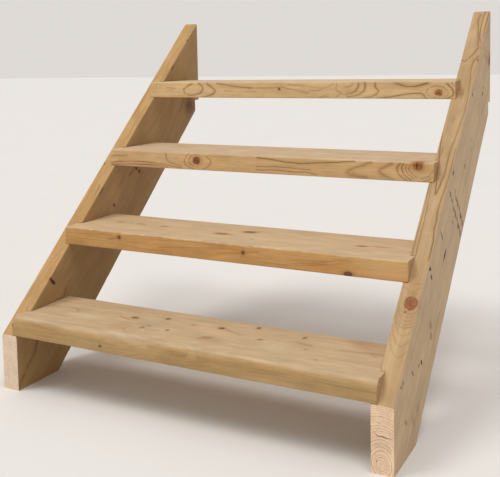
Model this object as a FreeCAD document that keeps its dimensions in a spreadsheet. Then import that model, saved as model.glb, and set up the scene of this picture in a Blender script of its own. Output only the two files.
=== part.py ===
import FreeCAD, Part
import math
import os

import Sketcher

# A flight of open steps: two sloping stringers carry level treads, which are housed
# into the stringers' inner faces and screwed through them.
# X is across the flight, Y is the way a person climbs and Z is up. The origin is on
# the ground, at the middle of the flight's length and width.

SIZES = {
    # how many treads, and the step from one to the next
    "tread_count": 4,
    "rise": 178,
    "going": 200,
    # a tread is a planed board with eased edges, the lowest with a much rounder nose
    "tread_length": 900,
    "tread_depth": 195,
    "tread_thick": 45,
    "tread_edge": 3,
    "tread_nose": 4,
    "lowest_nose": 16,
    # a stringer is a planed board on edge
    "stringer_width": 195,
    "stringer_thick": 45,
    "stringer_edge": 4,
    # the notch at the foot of the wall cut, which clears a batten on the wall
    "notch_depth": 22,
    "notch_height": 38,
    # how far a tread's end goes into the stringer, and the play left round it
    "housing_depth": 12,
    "housing_play": 0.2,
    # countersunk screws, driven a little below the stringer's face
    "screw_length": 90,
    "screw_shank": 5,
    "screw_head": 10,
    "screw_angle": 90,
    "screw_point": 8,
    "screw_sink": 2,
    "screw_play": 0.2,
    "screw_from_front": 46,
    "screw_from_back": 30,
    # the cross recess in a screw's head
    "recess_span": 5,
    "recess_slot": 1.2,
    "recess_depth": 2.4,
}

doc = FreeCAD.newDocument("Steps")
sheet = doc.addObject("Spreadsheet::Sheet", "Sizes")
for row, (alias, number) in enumerate(SIZES.items(), start=1):
    sheet.set(f"A{row}", alias)
    sheet.set(f"B{row}", str(number))
    sheet.setAlias(f"B{row}", alias)
doc.recompute()

# Lengths that follow from the sheet, as expressions
FLIGHT_HEIGHT = "((Sizes.tread_count + 1) * Sizes.rise)"
FRONT_HEIGHT = "(Sizes.rise - Sizes.tread_thick)"
FLIGHT_DEPTH = f"(({FLIGHT_HEIGHT} - {FRONT_HEIGHT}) * Sizes.going / Sizes.rise)"
INNER_FACE = "(Sizes.tread_length / 2 - Sizes.housing_depth)"
HEAD_FACE = f"({INNER_FACE} + Sizes.stringer_thick - Sizes.screw_sink)"
SCREW_SPACING = "(Sizes.tread_depth - Sizes.screw_from_front - Sizes.screw_from_back)"
SCREW_IN_TREAD = f"({INNER_FACE} + Sizes.housing_depth - {HEAD_FACE} + Sizes.screw_length)"
SCREW_HOLE = "(Sizes.screw_shank + Sizes.screw_play)"

SIDES = {"left": -1, "right": 1}

STEPS = range(1, int(sheet.tread_count) + 1)

vector = FreeCAD.Vector


def value(expression):
    """The number that an expression gives with the sheet as it stands."""
    return float(sheet.evalExpression(expression))


def new_body(label):
    body = doc.addObject("PartDesign::Body", label)
    body.Label = label
    return body


def new_sketch(body, role, name, offset=None):
    """A sketch on one of the body's origin planes, or off it along its normal."""
    plane = next(o for o in body.Origin.OriginFeatures if o.Role == role)
    sketch = body.newObject("Sketcher::SketchObject", name)
    sketch.AttachmentSupport = [(plane, "")]
    sketch.MapMode = "FlatFace"
    if offset:
        sketch.setExpression("AttachmentOffset.Base.z", offset)
    return sketch


def constrain(sketch, kind, *where):
    sketch.addConstraint(Sketcher.Constraint(kind, *where))


def dimension(sketch, name, expression, kind, *where):
    """A named dimension that follows the sheet."""
    index = sketch.addConstraint(Sketcher.Constraint(kind, *where, value(expression)))
    sketch.renameConstraint(index, name)
    sketch.setExpression(f"Constraints.{name}", expression)


def polygon(sketch, corners):
    """Joins the corners with straight lines, closed. Side n runs from corner n to the next."""
    points = [vector(x, y, 0) for x, y in corners]
    ends = zip(points, points[1:] + points[:1])
    sides = [sketch.addGeometry(Part.LineSegment(a, b), False) for a, b in ends]
    for side, following in zip(sides, sides[1:] + sides[:1]):
        constrain(sketch, "Coincident", side, 2, following, 1)
    return sides


def rectangle(sketch, name, left, low, width, height):
    """A rectangle placed by its lower left corner, with its numbers as expressions."""
    x, y, w, h = (value(number) for number in (left, low, width, height))
    corners = [(x, y), (x + w, y), (x + w, y + h), (x, y + h)]
    base, side, top, back = polygon(sketch, corners)
    for level in (base, top):
        constrain(sketch, "Horizontal", level)
    for plumb in (side, back):
        constrain(sketch, "Vertical", plumb)
    dimension(sketch, f"{name}_left", left, "DistanceX", -1, 1, base, 1)
    dimension(sketch, f"{name}_low", low, "DistanceY", -1, 1, base, 1)
    dimension(sketch, f"{name}_width", width, "DistanceX", base, 1, base, 2)
    dimension(sketch, f"{name}_height", height, "DistanceY", side, 1, side, 2)


def circle(sketch, name, across, up, diameter):
    """A circle placed by its centre, with its numbers as expressions."""
    centre = vector(value(across), value(up), 0)
    ring = Part.Circle(centre, vector(0, 0, 1), value(diameter) / 2)
    index = sketch.addGeometry(ring, False)
    dimension(sketch, f"{name}_across", across, "DistanceX", -1, 1, index, 3)
    dimension(sketch, f"{name}_up", up, "DistanceY", -1, 1, index, 3)
    dimension(sketch, f"{name}_diameter", diameter, "Diameter", index)


def check_cut(cut):
    """A cut that points away from the solid takes nothing off it and shows no error."""
    doc.recompute()
    if cut.Shape.Volume >= cut.BaseFeature.Shape.Volume:
        raise RuntimeError(f"{cut.Label} cuts nothing")


def tread_front(step):
    return f"({step - 1} * Sizes.going)"


def tread_bottom(step):
    return f"({step} * Sizes.rise - Sizes.tread_thick)"


def screw_height(step):
    return f"({tread_bottom(step)} + Sizes.tread_thick / 2)"


def screw_fronts(step):
    """How far back the two screws of a tread's end are."""
    first = f"({tread_front(step)} + Sizes.screw_from_front)"
    return [first, f"({first} + {SCREW_SPACING})"]


def put(body, across, along, up):
    """Places a body by expressions."""
    for axis, expression in zip("xyz", (across, along, up)):
        body.setExpression(f"Placement.Base.{axis}", expression)


def tread_section(sketch, nose_radius):
    """A board's section: a rectangle with each corner rounded, the front top one most."""
    depth, thick = value("Sizes.tread_depth"), value("Sizes.tread_thick")
    edge, nose = value("Sizes.tread_edge"), value(nose_radius)
    # each corner's centre and radius, and where its quarter circle starts
    corners = [
        (edge, edge, edge, 180),
        (depth - edge, edge, edge, 270),
        (depth - edge, thick - edge, edge, 0),
        (nose, thick - nose, nose, 90),
    ]
    quarters = []
    for along, up, radius, start in corners:
        ring = Part.Circle(vector(along, up, 0), vector(0, 0, 1), radius)
        quarters.append(Part.ArcOfCircle(ring, math.radians(start), math.radians(start + 90)))
    straights = [
        Part.LineSegment(quarter.EndPoint, following.StartPoint)
        for quarter, following in zip(quarters, quarters[1:] + quarters[:1])
    ]
    arcs = [sketch.addGeometry(quarter, False) for quarter in quarters]
    sides = [sketch.addGeometry(straight, False) for straight in straights]
    base, back, top, front = sides
    for arc, side, following in zip(arcs, sides, arcs[1:] + arcs[:1]):
        constrain(sketch, "Tangent", arc, 2, side, 1)
        constrain(sketch, "Tangent", side, 2, following, 1)
    for level in (base, top):
        constrain(sketch, "Horizontal", level)
    for plumb in (back, front):
        constrain(sketch, "Vertical", plumb)
    for arc, following in zip(arcs[:2], arcs[1:3]):
        constrain(sketch, "Equal", arc, following)
    constrain(sketch, "PointOnObject", base, 1, -1)
    constrain(sketch, "PointOnObject", front, 1, -2)
    dimension(sketch, "edge", "Sizes.tread_edge", "Radius", arcs[0])
    dimension(sketch, "nose", nose_radius, "Radius", arcs[3])
    dimension(sketch, "depth", "Sizes.tread_depth", "DistanceX", front, 1, back, 1)
    dimension(sketch, "thick", "Sizes.tread_thick", "DistanceY", base, 1, top, 1)


def make_tread(step):
    """A board with eased edges, and pilot holes in both ends for the screws."""
    body = new_body(f"tread_{step}")
    section = new_sketch(body, "YZ_Plane", f"tread_{step}_section")
    tread_section(section, "Sizes.lowest_nose" if step == 1 else "Sizes.tread_nose")
    board = body.newObject("PartDesign::Pad", f"tread_{step}_board")
    board.Profile = section
    board.SideType = "Symmetric"
    board.setExpression("Length", "Sizes.tread_length")
    for side, outward in SIDES.items():
        name = f"tread_{step}_{side}_holes"
        end = new_sketch(body, "YZ_Plane", f"{name}_sketch", f"{outward} * Sizes.tread_length / 2")
        places = ["Sizes.screw_from_front", f"(Sizes.screw_from_front + {SCREW_SPACING})"]
        for number, along in enumerate(places, start=1):
            circle(end, f"hole_{number}", along, "(Sizes.tread_thick / 2)", SCREW_HOLE)
        holes = body.newObject("PartDesign::Pocket", name)
        holes.Profile = end
        holes.Reversed = outward < 0
        holes.setExpression("Length", f"{SCREW_IN_TREAD} + Sizes.screw_play")
        check_cut(holes)
    put(body, "0", f"{tread_front(step)} - {FLIGHT_DEPTH} / 2", tread_bottom(step))
    return body


def stringer_outline(sketch):
    """A board cut level at the ground, plumb at the front and at the wall, and notched there."""
    run = value("Sizes.going / Sizes.rise")
    top, front, wall = (value(size) for size in (FLIGHT_HEIGHT, FRONT_HEIGHT, FLIGHT_DEPTH))
    # the board's width measured upright and how low its back edge is at the wall and the notch
    upright = value("Sizes.stringer_width") * math.hypot(1, 1 / run)
    notch = wall - value("Sizes.notch_depth")
    notch_foot = top - upright - value("Sizes.notch_depth") / run
    notch_head = notch_foot + value("Sizes.notch_height")
    corners = [
        (0, 0),
        ((upright - front) * run, 0),
        (notch, notch_foot),
        (notch, notch_head),
        (wall, notch_head),
        (wall, top),
        (0, front),
    ]
    foot, back_slope, notch_back, notch_top, wall_cut, front_slope, front_cut = polygon(
        sketch, corners
    )
    constrain(sketch, "Coincident", foot, 1, -1, 1)
    for level in (foot, notch_top):
        constrain(sketch, "Horizontal", level)
    for plumb in (notch_back, wall_cut, front_cut):
        constrain(sketch, "Vertical", plumb)
    constrain(sketch, "Parallel", back_slope, front_slope)
    dimension(sketch, "front_height", FRONT_HEIGHT, "DistanceY", front_cut, 2, front_cut, 1)
    dimension(sketch, "height", FLIGHT_HEIGHT, "DistanceY", -1, 1, front_slope, 1)
    dimension(sketch, "depth", FLIGHT_DEPTH, "DistanceX", -1, 1, front_slope, 1)
    dimension(sketch, "width", "Sizes.stringer_width", "Distance", foot, 2, front_slope)
    dimension(sketch, "notch_depth", "Sizes.notch_depth", "DistanceX", notch_top, 1, notch_top, 2)
    dimension(
        sketch, "notch_height", "Sizes.notch_height", "DistanceY", notch_back, 1, notch_back, 2
    )


def sloping_edges(board):
    """The names of the long edges of a stringer, which run up the slope."""
    names = []
    for number, edge in enumerate(board.Shape.Edges, start=1):
        along = edge.tangentAt(edge.FirstParameter)
        if min(abs(along.y), abs(along.z)) > abs(along.x) + Part.Precision.confusion():
            names.append(f"Edge{number}")
    return names


def make_stringer(side, outward):
    """The inner face is the body's own YZ plane, and the board lies outward of it."""
    body = new_body(f"stringer_{side}")
    outline = new_sketch(body, "YZ_Plane", f"stringer_{side}_outline")
    stringer_outline(outline)
    board = body.newObject("PartDesign::Pad", f"stringer_{side}_board")
    board.Profile = outline
    board.Reversed = outward < 0
    board.setExpression("Length", "Sizes.stringer_thick")
    doc.recompute()

    eased = body.newObject("PartDesign::Fillet", f"stringer_{side}_edges")
    eased.Base = (board, sloping_edges(board))
    eased.setExpression("Radius", "Sizes.stringer_edge")

    housing_sketch = new_sketch(body, "YZ_Plane", f"stringer_{side}_housing_sketch")
    for step in STEPS:
        depth = "Sizes.tread_depth + Sizes.housing_play"
        thick = "Sizes.tread_thick + Sizes.housing_play"
        where = (tread_front(step), tread_bottom(step))
        rectangle(housing_sketch, f"housing_{step}", *where, depth, thick)
    housings = body.newObject("PartDesign::Pocket", f"stringer_{side}_housings")
    housings.Profile = housing_sketch
    housings.Reversed = outward > 0
    housings.setExpression("Length", "Sizes.housing_depth")
    check_cut(housings)

    face = f"{outward} * Sizes.stringer_thick"
    hole_sketch = new_sketch(body, "YZ_Plane", f"stringer_{side}_hole_sketch", face)
    for step in STEPS:
        for number, along in enumerate(screw_fronts(step), start=1):
            circle(hole_sketch, f"hole_{step}_{number}", along, screw_height(step), SCREW_HOLE)
    holes = body.newObject("PartDesign::Hole", f"stringer_{side}_holes")
    holes.Profile = hole_sketch
    doc.recompute()
    holes.Reversed = outward < 0
    holes.DepthType = "ThroughAll"
    holes.HoleCutType = "Counterdrill"
    holes.HoleCutCustomValues = True
    holes.setExpression("Diameter", SCREW_HOLE)
    holes.setExpression("HoleCutDiameter", "Sizes.screw_head + Sizes.screw_play")
    holes.setExpression("HoleCutDepth", "Sizes.screw_sink")
    holes.setExpression("HoleCutCountersinkAngle", "Sizes.screw_angle")
    check_cut(holes)

    put(body, f"{outward} * {INNER_FACE}", f"-{FLIGHT_DEPTH} / 2", "0")
    return body


def screw_profile(sketch, inward):
    """Half of a screw along X, from the middle of its head to its point."""
    shank, head = "Sizes.screw_shank / 2", "Sizes.screw_head / 2"
    under_head = f"({head} - {shank}) / tan(Sizes.screw_angle * 1deg / 2)"
    length = f"{inward} * Sizes.screw_length"
    point = f"{inward} * (Sizes.screw_length - Sizes.screw_point)"
    places = [
        ("0", head),
        (f"{inward} * {under_head}", shank),
        (point, shank),
        (length, "0"),
    ]
    corners = [(0, 0)] + [(value(along), value(radius)) for along, radius in places]
    sides = polygon(sketch, corners)
    constrain(sketch, "Coincident", sides[0], 1, -1, 1)
    for number, (along, radius) in enumerate(places):
        corner = (-1, 1, sides[number], 2)
        dimension(sketch, f"along_{number}", along, "DistanceX", *corner)
        dimension(sketch, f"radius_{number}", radius, "DistanceY", *corner)


def make_screws(step, side, outward):
    """The two screws of a tread's end. The first one's head is at the body's origin."""
    name = f"screws_{step}_{side}"
    body = new_body(name)
    profile = new_sketch(body, "XY_Plane", f"{name}_profile")
    screw_profile(profile, -outward)
    screw = body.newObject("PartDesign::Revolution", f"{name}_screw")
    screw.Profile = profile
    screw.ReferenceAxis = (profile, ["H_Axis"])
    doc.recompute()
    features = [screw]
    span, slot = "Sizes.recess_span", "Sizes.recess_slot"
    for number, (width, height) in enumerate([(span, slot), (slot, span)], start=1):
        wing = new_sketch(body, "YZ_Plane", f"{name}_wing_sketch_{number}")
        rectangle(wing, "wing", f"-{width} / 2", f"-{height} / 2", width, height)
        recess = body.newObject("PartDesign::Pocket", f"{name}_wing_{number}")
        recess.Profile = wing
        recess.Reversed = outward < 0
        recess.setExpression("Length", "Sizes.recess_depth")
        check_cut(recess)
        features.append(recess)
    pair = body.newObject("PartDesign::LinearPattern", name + "_pair")
    pair.Originals = features
    pair.Direction = (profile, ["V_Axis"])
    pair.setExpression("Length", SCREW_SPACING)
    pair.Occurrences = 2
    body.Tip = pair
    along = f"{screw_fronts(step)[0]} - {FLIGHT_DEPTH} / 2"
    put(body, f"{outward} * {HEAD_FACE}", along, screw_height(step))
    return body


parts = [make_tread(step) for step in STEPS]
for side, outward in SIDES.items():
    parts.append(make_stringer(side, outward))
    parts += [make_screws(step, side, outward) for step in STEPS]
doc.recompute()

for made in doc.Objects:
    if {"Invalid", "Error"} & set(made.State):
        raise RuntimeError(f"{made.Label} failed: {made.State}")
for part in parts:
    if part.Shape.isNull() or not part.Shape.isValid():
        raise RuntimeError(f"{part.Label} has no valid shape")

os.makedirs("parts", exist_ok=True)
for part in parts:
    part.Shape.exportStep(f"parts/{part.Label}.step")
    print(f"{part.Label}: {len(part.Shape.Solids)} solid(s), {part.Shape.Volume / 1000:.1f} cm3")
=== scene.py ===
import math
import random

import bpy
from mathutils import Matrix, Vector, noise


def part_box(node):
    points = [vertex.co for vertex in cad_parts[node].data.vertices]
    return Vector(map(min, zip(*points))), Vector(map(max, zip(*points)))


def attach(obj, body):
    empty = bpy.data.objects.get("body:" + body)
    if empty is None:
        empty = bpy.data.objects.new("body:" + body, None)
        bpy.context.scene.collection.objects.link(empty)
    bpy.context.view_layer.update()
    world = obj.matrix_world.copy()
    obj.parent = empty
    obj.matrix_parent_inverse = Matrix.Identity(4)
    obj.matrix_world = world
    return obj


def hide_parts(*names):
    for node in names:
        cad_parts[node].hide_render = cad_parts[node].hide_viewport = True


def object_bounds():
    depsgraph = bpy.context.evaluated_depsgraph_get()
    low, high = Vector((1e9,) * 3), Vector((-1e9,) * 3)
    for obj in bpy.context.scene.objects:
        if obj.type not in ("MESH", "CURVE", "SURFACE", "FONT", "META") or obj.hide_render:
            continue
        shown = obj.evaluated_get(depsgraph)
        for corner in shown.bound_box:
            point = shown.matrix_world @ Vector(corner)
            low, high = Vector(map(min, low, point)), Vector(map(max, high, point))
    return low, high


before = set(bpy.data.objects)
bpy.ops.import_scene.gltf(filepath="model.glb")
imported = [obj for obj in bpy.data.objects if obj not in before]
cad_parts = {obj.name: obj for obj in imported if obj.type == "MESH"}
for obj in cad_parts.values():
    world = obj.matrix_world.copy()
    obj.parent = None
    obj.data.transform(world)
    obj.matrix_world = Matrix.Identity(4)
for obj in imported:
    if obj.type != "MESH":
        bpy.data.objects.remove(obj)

cadLow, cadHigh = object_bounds()
mm = 0.001

# the whole flight of steps, as the joiner sets it out
flight = {
    "height": 0.890,
    "depth": 0.85056,
    "footHeight": 0.133,       # plumb cut at the front of each foot
    "boardWidth": 0.195,
    "notchDepth": 0.022,       # small notch where the wall cut begins
    "notchBottom": 0.6094,
    "notchTop": 0.6474,
    "treads": 4,
    "screwsFromFront": (0.046, 0.165),
}
slope = math.atan2(flight["height"] - flight["footHeight"], flight["depth"])
frontY = cadLow[1]
print("frame loaded, slope", round(math.degrees(slope), 2))


# modelling by hand, in code

def deselectAll():
    if bpy.context.mode != "OBJECT":
        bpy.ops.object.mode_set(mode="OBJECT")
    bpy.ops.object.select_all(action="DESELECT")


def pickUp(thing):
    deselectAll()
    thing.select_set(True)
    bpy.context.view_layer.objects.active = thing


def settle(thing):
    pickUp(thing)  # its place goes into the mesh
    bpy.ops.object.transform_apply(location=True, rotation=True, scale=True)


def addBlock(name, low, high):
    deselectAll()
    low, high = Vector(low), Vector(high)
    bpy.ops.mesh.primitive_cube_add(size=1, location=(low + high) / 2)
    block = bpy.context.object
    block.name = block.data.name = name
    block.scale = high - low
    settle(block)
    return block


def choose(thing, kind, test):
    pickUp(thing)
    bpy.ops.object.mode_set(mode="EDIT")
    bpy.ops.mesh.select_mode(type=kind)
    bpy.ops.mesh.select_all(action="DESELECT")
    bpy.ops.object.mode_set(mode="OBJECT")
    mesh = thing.data
    if kind == "FACE":
        for face in mesh.polygons:
            face.select = test(face.center, face.normal)
    elif kind == "EDGE":
        for edge in mesh.edges:
            ends = [mesh.vertices[i].co for i in edge.vertices]
            edge.select = test(ends[0], ends[1])
    else:
        for vertex in mesh.vertices:
            vertex.select = test(vertex.co)
    bpy.ops.object.mode_set(mode="EDIT")


def roundEdges(thing, test, radius, steps=4):
    choose(thing, "EDGE", test)
    bpy.ops.mesh.bevel(offset=radius, offset_type="OFFSET", segments=steps, profile=0.5, affect="EDGES")
    deselectAll()


def crossCut(thing, places, direction):
    pickUp(thing)
    bpy.ops.object.mode_set(mode="EDIT")
    direction = Vector(direction)
    for place in places:
        bpy.ops.mesh.select_all(action="SELECT")
        bpy.ops.mesh.bisect(plane_co=place, plane_no=direction)
    deselectAll()


def sawOff(thing, place, direction):
    pickUp(thing)  # what lies beyond the cut, on the side the direction points to, goes
    bpy.ops.object.mode_set(mode="EDIT")
    bpy.ops.mesh.select_all(action="SELECT")
    bpy.ops.mesh.bisect(plane_co=place, plane_no=direction, use_fill=True, clear_outer=True)
    deselectAll()


def finishWith(thing, kind, **values):
    pickUp(thing)
    modifier = thing.modifiers.new(kind.title(), kind)
    for name, value in values.items():
        setattr(modifier, name, value)
    bpy.ops.object.modifier_apply(modifier=modifier.name)


def joinUp(things):
    pickUp(things[0])
    for thing in things:
        thing.select_set(True)
    if len(things) > 1:
        bpy.ops.object.join()
    return bpy.context.object


def cutWith(thing, cutters):
    cutter = joinUp(cutters)
    finishWith(thing, "BOOLEAN", operation="DIFFERENCE", solver="EXACT", object=cutter)
    bpy.data.objects.remove(cutter)


def smooth(thing, degrees=28):
    pickUp(thing)
    bpy.ops.object.shade_smooth_by_angle(angle=math.radians(degrees))
    # the big flat faces lead the shading, so that only the small rounds look round
    finishWith(thing, "WEIGHTED_NORMAL", weight=90, keep_sharp=True)


def makeSplit(start, stop, wide, deep, inward, seed=0):
    # a drying crack, as a cutter: a thin blade along the line from start to stop, ragged, closing at
    # both ends
    start, stop, inward = Vector(start), Vector(stop), Vector(inward).normalized()
    long = (stop - start).length
    over = 0.4 * mm
    blade = addBlock("split", (-long / 2, -wide / 2, -over), (long / 2, wide / 2, deep))
    crossCut(blade, [(-long * 0.2, 0, 0), (long * 0.2, 0, 0)],
             (1, 0, 0))  # so that the middle stays full width
    for end in (-1, 1):
        choose(blade, "FACE", lambda centre, normal: normal.x * end > 0.9)
        bpy.ops.transform.resize(value=(1, 0.12, 0.5), center_override=(end * long / 2, 0, -over))
    choose(blade, "FACE", lambda centre, normal: normal.z > 0.5)
    bpy.ops.transform.resize(value=(1, 0.25, 1), center_override=(0, 0, deep))
    deselectAll()
    count = max(3, int(long / (5 * mm)))
    crossCut(blade, [(long * (i / count - 0.5), 0, 0) for i in range(1, count)], (1, 0, 0))
    moves = {}
    for vertex in blade.data.vertices:
        sway = noise.noise(Vector((vertex.co.x * 90, seed, 0.3))) * wide * 1.5
        moves[vertex.index] = Vector((0, sway, 0))
    pushVertices(blade, moves)
    along = (stop - start).normalized()
    across = inward.cross(along)
    blade.rotation_euler = Matrix((along, across, inward)).transposed().to_euler()
    blade.location = (start + stop) / 2
    settle(blade)
    return blade


def pushVertices(thing, moves):
    # moves: {vertex number: vector}; one Displace per direction, each vertex weighted by how far it goes
    for axis, letter in enumerate("XYZ"):
        far = max((abs(move[axis]) for move in moves.values()), default=0)
        if far < 1e-7:
            continue
        for sign in (1, -1):
            part = {i: move[axis] * sign / far for i, move in moves.items() if move[axis] * sign > 0}
            if not part:
                continue
            group = thing.vertex_groups.new(name="push")
            for i, weight in part.items():
                group.add([i], weight, "REPLACE")
            finishWith(thing, "DISPLACE", direction=letter, strength=far * sign, mid_level=0,
                       vertex_group="push")
            thing.vertex_groups.clear()


def near(a, b, gap=2e-5):
    return abs(a - b) < gap


# wood, as nodes

def newNode(tree, kind, **values):
    made = tree.nodes.new(kind)
    for name, value in values.items():
        setattr(made, name, value)
    return made


def feed(tree, socket, value):
    if value is None:
        return
    if isinstance(value, bpy.types.NodeSocket):
        tree.links.new(value, socket)
    else:
        socket.default_value = value


def sums(tree, operation, *values, clamp=False):
    made = newNode(tree, "ShaderNodeMath", operation=operation, use_clamp=clamp)
    for socket, value in zip(made.inputs, values):
        feed(tree, socket, value)
    return made.outputs[0]


def vectors(tree, operation, first, second=None):
    made = newNode(tree, "ShaderNodeVectorMath", operation=operation)
    feed(tree, made.inputs[0], first)
    feed(tree, made.inputs[1], second)
    return made.outputs["Value"] if operation == "LENGTH" else made.outputs["Vector"]


def after(tree, place, before):
    # the same point, but worked out only once an earlier result is there: it keeps a long material
    # within bounds
    made = newNode(tree, "ShaderNodeVectorMath", operation="MULTIPLY_ADD")
    feed(tree, made.inputs[0], before)
    made.inputs[1].default_value = (1e-7, 1e-7, 1e-7)
    feed(tree, made.inputs[2], place)
    return made.outputs["Vector"]


def dotted(tree, first, second):
    made = newNode(tree, "ShaderNodeVectorMath", operation="DOT_PRODUCT")
    feed(tree, made.inputs[0], first)
    feed(tree, made.inputs[1], second)
    return made.outputs["Value"]


def ease(tree, value, low, high, toLow=0.0, toHigh=1.0):
    made = newNode(tree, "ShaderNodeMapRange", interpolation_type="SMOOTHSTEP")
    for socket, number in zip(made.inputs, (value, low, high, toLow, toHigh)):
        feed(tree, socket, number)
    return made.outputs["Result"]


def tint(tree, amount, first, second, way="MIX"):
    made = newNode(tree, "ShaderNodeMix", data_type="RGBA", blend_type=way)
    feed(tree, made.inputs["Factor"], amount)
    feed(tree, made.inputs[6], first if isinstance(first, bpy.types.NodeSocket) else (*first, 1))
    feed(tree, made.inputs[7], second if isinstance(second, bpy.types.NodeSocket) else (*second, 1))
    return made.outputs[2]


def cloud(tree, place, stretch, detail=2.0, roughness=0.5):
    made = newNode(tree, "ShaderNodeTexNoise", noise_dimensions="3D")
    feed(tree, made.inputs["Vector"], vectors(tree, "MULTIPLY", place, stretch))
    made.inputs["Scale"].default_value = 1
    made.inputs["Detail"].default_value = detail
    made.inputs["Roughness"].default_value = roughness
    return made


def makeSpotGroup():
    # how far a point is from the middle of a knot or mark, counted in its own radii, with ragged edges
    tree = bpy.data.node_groups.new("woodSpot", "ShaderNodeTree")
    for name, kind in (("Grain", "NodeSocketVector"), ("Centre", "NodeSocketVector"),
                       ("Squeeze", "NodeSocketVector"),
                       ("Ragged", "NodeSocketFloat"), ("Soft", "NodeSocketFloat"),
                       ("Lift", "NodeSocketFloat"), ("Reach", "NodeSocketFloat"),
                       ("Before", "NodeSocketVector")):
        tree.interface.new_socket(name, in_out="INPUT", socket_type=kind)
    for name in ("Radii", "Mask", "Rim", "Push"):
        tree.interface.new_socket(name, in_out="OUTPUT", socket_type="NodeSocketFloat")
    taken = newNode(tree, "NodeGroupInput").outputs
    given = newNode(tree, "NodeGroupOutput").inputs
    offset = vectors(tree, "SUBTRACT", after(tree, taken["Grain"], taken["Before"]), taken["Centre"])
    squeezed = vectors(tree, "MULTIPLY", offset, taken["Squeeze"])
    wild = cloud(tree, squeezed, (1.7, 1.7, 1.7), detail=2)
    jog = sums(tree, "MULTIPLY", sums(tree, "SUBTRACT", wild.outputs[0], 0.5), taken["Ragged"])
    plain = vectors(tree, "LENGTH", squeezed)
    radii = sums(tree, "ADD", plain, jog)
    inner = sums(tree, "SUBTRACT", 1.0, taken["Soft"])
    feed(tree, given["Radii"], radii)
    feed(tree, given["Mask"], ease(tree, radii, inner, 1.0, 1.0, 0.0))
    off = sums(tree, "ABSOLUTE", sums(tree, "SUBTRACT", radii, 0.95))
    feed(tree, given["Rim"], ease(tree, off, 0.02, 0.20, 1.0, 0.0))
    ratio = sums(tree, "DIVIDE", plain, taken["Reach"])
    fall = sums(tree, "POWER", 2.718, sums(tree, "MULTIPLY", sums(tree, "MULTIPLY", ratio, ratio), -1.0))
    feed(tree, given["Push"], sums(tree, "MULTIPLY", fall, taken["Lift"]))
    return tree


def makeLineGroup():
    # how far a point is from one straight run of a grain line
    tree = bpy.data.node_groups.new("grainRun", "ShaderNodeTree")
    for name in ("Point", "Start", "Run", "Share"):
        tree.interface.new_socket(name, in_out="INPUT", socket_type="NodeSocketVector")
    tree.interface.new_socket("Before", in_out="INPUT", socket_type="NodeSocketFloat")
    tree.interface.new_socket("Away", in_out="OUTPUT", socket_type="NodeSocketFloat")
    taken = newNode(tree, "NodeGroupInput").outputs
    given = newNode(tree, "NodeGroupOutput").inputs
    offset = vectors(tree, "SUBTRACT", after(tree, taken["Point"], taken["Before"]), taken["Start"])
    share = sums(tree, "ADD", dotted(tree, offset, taken["Share"]), 0.0, clamp=True)
    walked = newNode(tree, "ShaderNodeVectorMath", operation="SCALE")
    feed(tree, walked.inputs[0], taken["Run"])
    feed(tree, walked.inputs["Scale"], share)
    away = vectors(tree, "LENGTH", vectors(tree, "SUBTRACT", offset, walked.outputs[0]))
    feed(tree, given["Away"], sums(tree, "MINIMUM", taken["Before"], away))
    return tree


woodSpot = makeSpotGroup()
grainRun = makeLineGroup()

pine = {
    "early": (0.66, 0.44, 0.235),      # pale spring wood
    "early2": (0.58, 0.36, 0.165),     # its warmer patches
    "late": (0.30, 0.145, 0.045),      # dark summer lines
    "knot": (0.40, 0.135, 0.045),
    "knotHeart": (0.15, 0.04, 0.015),
    "knotRim": (0.13, 0.06, 0.022),
    "knotHalo": (0.42, 0.20, 0.075),
    "stain": (0.14, 0.075, 0.035),
    "endEarly": (0.56, 0.35, 0.18),
    "endLate": (0.33, 0.165, 0.07),
    "ringWidth": 3.6,                  # mm
    "phase": 0.0,                      # moves the lines in or out, in rings
    "lineStrength": 0.55,
    "endContrast": 1.3,                # how plainly the rings show on sawn ends
    "wobble": 5.0,                     # how far the rings wander, mm
    "pith": (60, 20),                  # where the heart of the trunk lies, mm in grain depth and height
    "pithTurn": (0.0, 0.0),            # its tilt along the board, degrees
    "patch": 0.6,                      # strength of the warm patches
    "faces": (),                       # (direction the face looks, its colour, how much, lines left)
    # on the left board's inner face one set of lines is the painted shade inside a crack
    "lines": (),                       # grain lines, laid one by one
    "seed": 0.0,
}


def spotNode(tree, grain, spot, soft, ragged, before):
    made = newNode(tree, "ShaderNodeGroup", node_tree=woodSpot)
    feed(tree, made.inputs["Before"], before)
    feed(tree, made.inputs["Grain"], grain)
    made.inputs["Centre"].default_value = [value * mm for value in spot["at"]]
    made.inputs["Squeeze"].default_value = [1 / (value * mm) for value in spot["size"]]
    made.inputs["Ragged"].default_value = spot.get("ragged", ragged)
    made.inputs["Soft"].default_value = spot.get("soft", soft)
    made.inputs["Lift"].default_value = spot.get("lift", 0.0) * mm
    made.inputs["Reach"].default_value = spot.get("reach", 2.5)
    return made.outputs


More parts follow.
